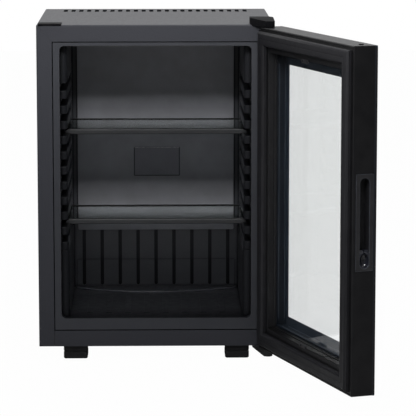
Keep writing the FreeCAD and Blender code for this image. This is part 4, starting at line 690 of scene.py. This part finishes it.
shelf_glass = surface_finish(
    "shelf_glass", (0.88, 0.95, 0.93), (0.93, 0.98, 0.96), patch=70 * mm,
    roughness=(0.01, 0.05), gloss_patch=40 * mm)
make_clear(shelf_glass, bending=1.5, tint=(0.20, 0.21, 0.22))
dress(shelf_glass, "upper_shelf_glass", "lower_shelf_glass")
rail_moulding = surface_finish(
    "rail_moulding", (0.018, 0.019, 0.021), (0.022, 0.023, 0.025), patch=60 * mm,
    roughness=(0.34, 0.40), gloss_patch=40 * mm, grain=0.5 * mm, rise=0.01 * mm, specular=0.4)
rail_painted_shade = surface_finish(
    "rail_painted_shade", (0.0063, 0.0067, 0.0074), (0.0077, 0.0081, 0.0088), patch=60 * mm,
    roughness=(0.34, 0.40), gloss_patch=40 * mm, grain=0.5 * mm, rise=0.01 * mm, specular=0.14)
for shelf in ("upper_shelf", "lower_shelf"):
    rounded_copy(shelf + "_front_rail", rail_moulding, "rail_plastic", 1.4 * mm, segments=4)
    rounded_copy(shelf + "_rear_rail", rail_painted_shade, "rail_plastic", 0.8 * mm, segments=3)

# Door frame: a satin black moulding round a foam core, with painted shade in its creases and towards its top.
# Faces that point up or down get a painted highlight, where its upper edge catches the light. The glazing
# bars have the same moulding, with its crease shade, before these other painted shades.
door_moulding = surface_finish(
    "door_moulding", (0.008, 0.008, 0.009), (0.011, 0.011, 0.012), patch=25 * mm,
    roughness=(0.38, 0.46), gloss_patch=10 * mm, grain=0.5 * mm, rise=0.04 * mm, specular=0.15)
paint_crease_shade(door_moulding, 5 * mm, 0.25, alone=False)
bar_moulding = door_moulding.copy()
bar_moulding.name = "bar_moulding"
paint_light_grade(door_moulding, "Z", 300 * mm, 500 * mm, 1.0, 0.70)
paint_light_grade(door_moulding, "Z", 0.90, 0.95, 1.0, 2.0, "Normal")
dress(door_moulding, "door_frame")


# Glazing bars: a moulded frame clipped into the door, with a rounded bead at its front and a ledge by the
# pane. Door pieces are drawn with the door shut and swung open about the hinge pins, as the photograph
# has it. Those that run round it start as one flat face, extruded along the section and drawn in.
pin = sum(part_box("lower_hinge_pin"), Vector()) / 2
door_turn = math.radians(108.5)
to_open, to_shut = Matrix.Rotation(door_turn, 3, "Z"), Matrix.Rotation(-door_turn, 3, "Z")
door_low, door_high = corners_of(
    [to_shut @ (vertex.co - pin) + pin for vertex in frame["nodes"]["door_frame"].data.vertices])
door_centre = (door_low + door_high) / 2
inner_face = door_high.y


def swing_open(piece):
    """Turn a piece that was drawn with the door shut; without a window the operator turns the other way."""
    bpy.ops.object.select_all(action="DESELECT")
    piece.select_set(True)
    bpy.context.view_layer.objects.active = piece
    bpy.ops.object.mode_set(mode="EDIT")
    bpy.ops.mesh.select_all(action="SELECT")
    bpy.ops.transform.rotate(value=-door_turn, orient_axis="Z", center_override=pin)
    bpy.ops.object.mode_set(mode="OBJECT")


def mitred_ring(name, section):
    """A closed ring round the door. Each row of its section has how far it is drawn in at the door's
    sides and at its ends, and its depth below the door's inner face, all in millimetres."""
    half_width = door_high.x * 1000
    half_height = (door_high.z - door_low.z) * 500
    side, end, depth = section[0]
    bpy.ops.object.select_all(action="DESELECT")
    bpy.ops.mesh.primitive_plane_add(size=2.0, rotation=(math.radians(90), 0.0, 0.0))
    piece = bpy.context.object
    piece.name = name
    piece.scale = ((half_width - side) * mm, (half_height - end) * mm, 1.0)
    piece.location = (door_centre.x, inner_face - depth * mm, door_centre.z)
    bpy.ops.object.transform_apply(location=True, rotation=True, scale=True)
    bpy.ops.object.mode_set(mode="EDIT")
    bpy.ops.mesh.select_all(action="SELECT")
    for next_side, next_end, next_depth in section[1:]:
        bpy.ops.mesh.extrude_region()
        narrower = (half_width - next_side) / (half_width - side)
        shorter = (half_height - next_end) / (half_height - end)
        bpy.ops.transform.resize(value=(narrower, 1.0, shorter), center_override=door_centre)
        bpy.ops.transform.translate(value=(0.0, (depth - next_depth) * mm, 0.0))
        side, end, depth = next_side, next_end, next_depth
    pick_faces(piece, lambda middle, way: abs(middle.x) < mm and abs(middle.z - door_centre.z) < mm)
    bpy.ops.mesh.delete(type="ONLY_FACE")
    bpy.ops.mesh.select_mode(type="EDGE")
    bpy.ops.mesh.select_non_manifold()
    bpy.ops.mesh.bridge_edge_loops()
    bpy.ops.mesh.select_all(action="SELECT")
    bpy.ops.mesh.normals_make_consistent(inside=False)
    bpy.ops.object.mode_set(mode="OBJECT")
    bpy.ops.object.shade_smooth_by_angle(angle=math.radians(50))
    keep_flat(piece)
    return piece


# Painted shade on the glazing bars' faces that point up or down.
paint_light_grade(bar_moulding, "Z", 0.30, 0.90, 1.0, 0.35, "Normal")
glazing_frame = mitred_ring("glazing_bars", [
    (32.0, 31.0, 16.0), (32.0, 31.0, 1.5), (32.5, 31.5, 1.0), (35.0, 38.9, 1.0), (35.6, 39.5, 1.2),
    (36.1, 40.1, 1.8), (36.3, 40.3, 2.8), (36.1, 40.1, 3.9), (35.9, 39.9, 4.6), (37.0, 41.0, 10.9),
    (38.0, 41.9, 11.2), (38.4, 42.3, 11.8), (38.4, 42.3, 14.4), (39.2, 42.7, 15.0), (39.5, 43.0, 15.4),
    (39.5, 43.0, 16.0),
])
swing_open(glazing_frame)
finish_piece(glazing_frame, bar_moulding, "door_plastic", "glazing_frame")

# Glazing clips: two spring strips painted black, at the middle of the upper and the lower glazing bar.
# Each is held by two plain steel screws, whose steel is drawn dark grey as painted shade.
clip_screw_from_middle, clip_screw_radius, clip_screw_face = 10.5 * mm, 2.3 * mm, 2e-6
screw_painted_shade = surface_finish(
    "screw_painted_shade", (0.025, 0.025, 0.028), (0.045, 0.045, 0.05), patch=1.5 * mm,
    roughness=(0.28, 0.42), gloss_patch=1.0 * mm, metallic=1.0)


def on_clip_screw(face):
    """Whether a face of the clips belongs to one of their screws."""
    place = to_shut @ (face.center - pin) + pin
    off_screw = abs(abs(place.x - door_centre.x) - clip_screw_from_middle)
    return off_screw < clip_screw_radius and face.area < clip_screw_face


clips = rounded_copy("glazing_clips", hinge_paint, "pin_steel", 0.25 * mm)
paint_faces(clips, screw_painted_shade, on_clip_screw)

# Door glass: an outer and an inner tempered pane, held apart by the spacer and sealed to it.
# The outer pane is the door's whole front, and its ground edge is painted black.
door_glass = surface_finish(
    "door_glass", (0.986, 0.999, 0.997), (0.990, 1.0, 1.0), patch=200 * mm, roughness=0.0)
make_clear(door_glass, bending=1.25, tint=(0.96, 0.97, 0.97))
rounded_copy("inner_glass", door_glass, "door_glass", 0.4 * mm)
outer_pane = rounded_copy("outer_glass", door_glass, "door_glass", 0.4 * mm)
edge_black = surface_finish(
    "edge_black", (0.008, 0.008, 0.009), (0.014, 0.014, 0.016), patch=2 * mm,
    roughness=(0.30, 0.42), gloss_patch=3 * mm, specular=0.2)
pane_facing = to_open @ Vector((0.0, 1.0, 0.0))
paint_faces(outer_pane, edge_black, lambda face: abs(face.normal.dot(pane_facing)) < 0.9)

# Printed border: black enamel, screen-printed and fired on to the inside of the outer pane.
# It hides the door frame and the spacer from the front, and it turns down over the pane's edge.
glass_print = surface_finish(
    "glass_print", (0.012, 0.017, 0.026), (0.015, 0.021, 0.031), patch=50 * mm,
    roughness=(0.40, 0.46), gloss_patch=60 * mm, specular=0.2)
glass_border = mitred_ring("glass_border_print", [
    (0.06, 0.06, 39.6), (0.06, 0.06, 35.75), (50.6, 60.5, 35.75), (50.6, 60.5, 36.04), (0.5, 0.5, 36.04),
    (0.5, 0.5, 39.6),
])
swing_open(glass_border)
finish_piece(glass_border, glass_print, "glass_print", "glass_border")

# Spacer: a black anodised aluminium bar between the panes, filled with drying beads.
# Its faces inside the glass have two lines of small holes, whose raised edges carry a paler painted glint.
spacer_metal = surface_finish(
    "spacer_metal", (0.003, 0.005, 0.008), (0.005, 0.007, 0.012), patch=3 * mm,
    roughness=(0.40, 0.50), gloss_patch=6 * mm, specular=0.12)
hole_edge_glint = surface_finish(
    "hole_edge_glint", (0.17, 0.21, 0.27), (0.23, 0.27, 0.33), patch=2 * mm,
    roughness=(0.34, 0.46), gloss_patch=3 * mm)
spacer = mitred_ring("spacer_bar", [
    (31.0, 39.0, 35.6), (31.0, 39.0, 20.1), (36.7, 44.7, 20.1), (37.0, 45.0, 20.4), (37.0, 45.0, 23.4),
    (36.6, 44.6, 23.8), (36.6, 44.6, 31.6), (37.0, 45.0, 32.0), (37.0, 45.0, 35.3), (36.7, 44.7, 35.6),
])
spacer.data.materials.append(spacer_metal)
bar_side, bar_end = 37.0 * mm, 45.0 * mm
hole_radius, hole_rise, hole_pitch, first_hole = 0.6 * mm, 0.25 * mm, 3.6 * mm, 12 * mm
hole_depths = (23.4 * mm, 33.8 * mm)
bar_half_width = door_high.x - bar_side
bar_half_height = (door_high.z - door_low.z) / 2 - bar_end
bpy.ops.object.select_all(action="DESELECT")
bpy.ops.mesh.primitive_cylinder_add(vertices=6, radius=hole_radius, depth=2 * hole_rise)
hole = bpy.context.object
hole.data.materials.append(spacer_metal)
paint_faces(hole, hole_edge_glint, lambda face: True)
holes = [hole]


def set_hole(place, tilt):
    """One more raised hole edge on the spacer."""
    copy = hole.copy()
    copy.data = hole.data.copy()
    scene.collection.objects.link(copy)
    copy.location = place
    copy.rotation_euler = tilt
    holes.append(copy)


upright, lying = (0.0, 0.0, 0.0), (0.0, math.radians(90), 0.0)
for depth in hole_depths:
    hole_y = inner_face - depth
    for number in range(int((2 * bar_half_height - 2 * first_hole) / hole_pitch)):
        hole_z = door_centre.z - bar_half_height + first_hole + number * hole_pitch
        for side in (-1, 1):
            set_hole((door_centre.x + side * bar_half_width, hole_y, hole_z), lying)
    for number in range(int((2 * bar_half_width - 2 * first_hole) / hole_pitch)):
        hole_x = door_centre.x - bar_half_width + first_hole + number * hole_pitch
        for side in (-1, 1):
            set_hole((hole_x, hole_y, door_centre.z + side * bar_half_height), upright)
hole.location = (door_centre.x, inner_face - hole_depths[0], door_centre.z - bar_half_height)
bpy.ops.object.select_all(action="DESELECT")
for piece in holes:
    piece.select_set(True)
spacer.select_set(True)
bpy.context.view_layer.objects.active = spacer
bpy.ops.object.join()
swing_open(spacer)
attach(spacer, "door")
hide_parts("glass_spacer")

# Door seal: extruded soft black vinyl with bevelled edges, welded at its mitred corners.
# A bonded magnet strip lies in its hollow back on each side. Its edge is drawn as steps across and up.
seal_vinyl = surface_finish(
    "seal_vinyl", (0.011, 0.011, 0.013), (0.014, 0.014, 0.016), patch=20 * mm,
    roughness=(0.44, 0.54), gloss_patch=10 * mm, grain=1.0 * mm, rise=0.04 * mm, specular=0.16)
# Painted shade in its grooves and where it meets the door.
paint_crease_shade(seal_vinyl, 4 * mm, 0.40, alone=False)
seal_side, seal_end = 8.0, 7.0
seal_edge = [
    (0.0, 0.0), (0.0, 2.9), (0.5, 3.3), (0.5, 4.2), (0.0, 4.6), (0.2, 5.2), (3.1, 8.1), (3.9, 8.6),
    (10.8, 8.6), (11.3, 8.1), (12.2, 8.1), (12.7, 8.6), (19.6, 8.6), (20.4, 8.1), (23.3, 5.2), (23.5, 4.6),
    (23.0, 4.2), (23.0, 3.3), (23.5, 2.9), (23.5, 0.0), (16.8, 0.0), (16.8, 6.2), (6.7, 6.2), (6.7, 0.0),
]
seal = mitred_ring("door_seal", [(seal_side + across, seal_end + across, -up) for across, up in seal_edge])
swing_open(seal)
finish_piece(seal, seal_vinyl, "gasket_rubber", "door_gasket")
magnet_strip = surface_finish(
    "magnet_strip", (0.085, 0.072, 0.064), (0.12, 0.10, 0.09), patch=4 * mm, roughness=0.7,
    grain=0.4 * mm, rise=0.04 * mm)
dress(magnet_strip, "gasket_magnets")

# Handle: a satin moulded plate let into the door's free edge, with the finger recess behind its slot.
# The plate's slanted rim is painted paler as a highlight, and a polished plug fills the foot of the slot.
handle_satin = surface_finish(
    "handle_satin", (0.010, 0.010, 0.012), (0.016, 0.016, 0.018), patch=10 * mm,
    roughness=(0.32, 0.44), gloss_patch=6 * mm, grain=0.5 * mm, rise=0.04 * mm)
plate_rim_highlight = surface_finish(
    "plate_rim_highlight", (0.042, 0.048, 0.060), (0.060, 0.066, 0.082), patch=8 * mm,
    roughness=(0.26, 0.36), gloss_patch=5 * mm)
handle_plate = rounded_copy("handle_plate", handle_satin, "handle_plastic", 0.5 * mm)
plate_facing = to_open @ Vector((-1.0, 0.0, 0.0))
paint_faces(handle_plate, plate_rim_highlight, lambda face: 0.25 < face.normal.dot(plate_facing) < 0.97)
rounded_copy("handle_cup", handle_satin, "handle_plastic", 0.2 * mm)
handle_polish = surface_finish(
    "handle_polish", (0.010, 0.011, 0.016), (0.015, 0.016, 0.022), patch=7 * mm,
    roughness=(0.05, 0.12), gloss_patch=4 * mm)
rounded_copy("slot_end_plug", handle_polish, "handle_gloss", 0.25 * mm)

# Bushes: two sleeves of off-white acetal, pressed into the door for the hinge pins.
# They are turned, so their fine rings run round.
acetal = surface_finish("acetal", (0.58, 0.58, 0.56), (0.66, 0.66, 0.64), patch=5 * mm, roughness=0.45)
raise_by(acetal, noise(acetal, 0.8 * mm, 2.0, (0.3, 0.3, 3.0)), "Fac", 0.03 * mm)
dress(acetal, "upper_hinge_bush", "lower_hinge_bush")
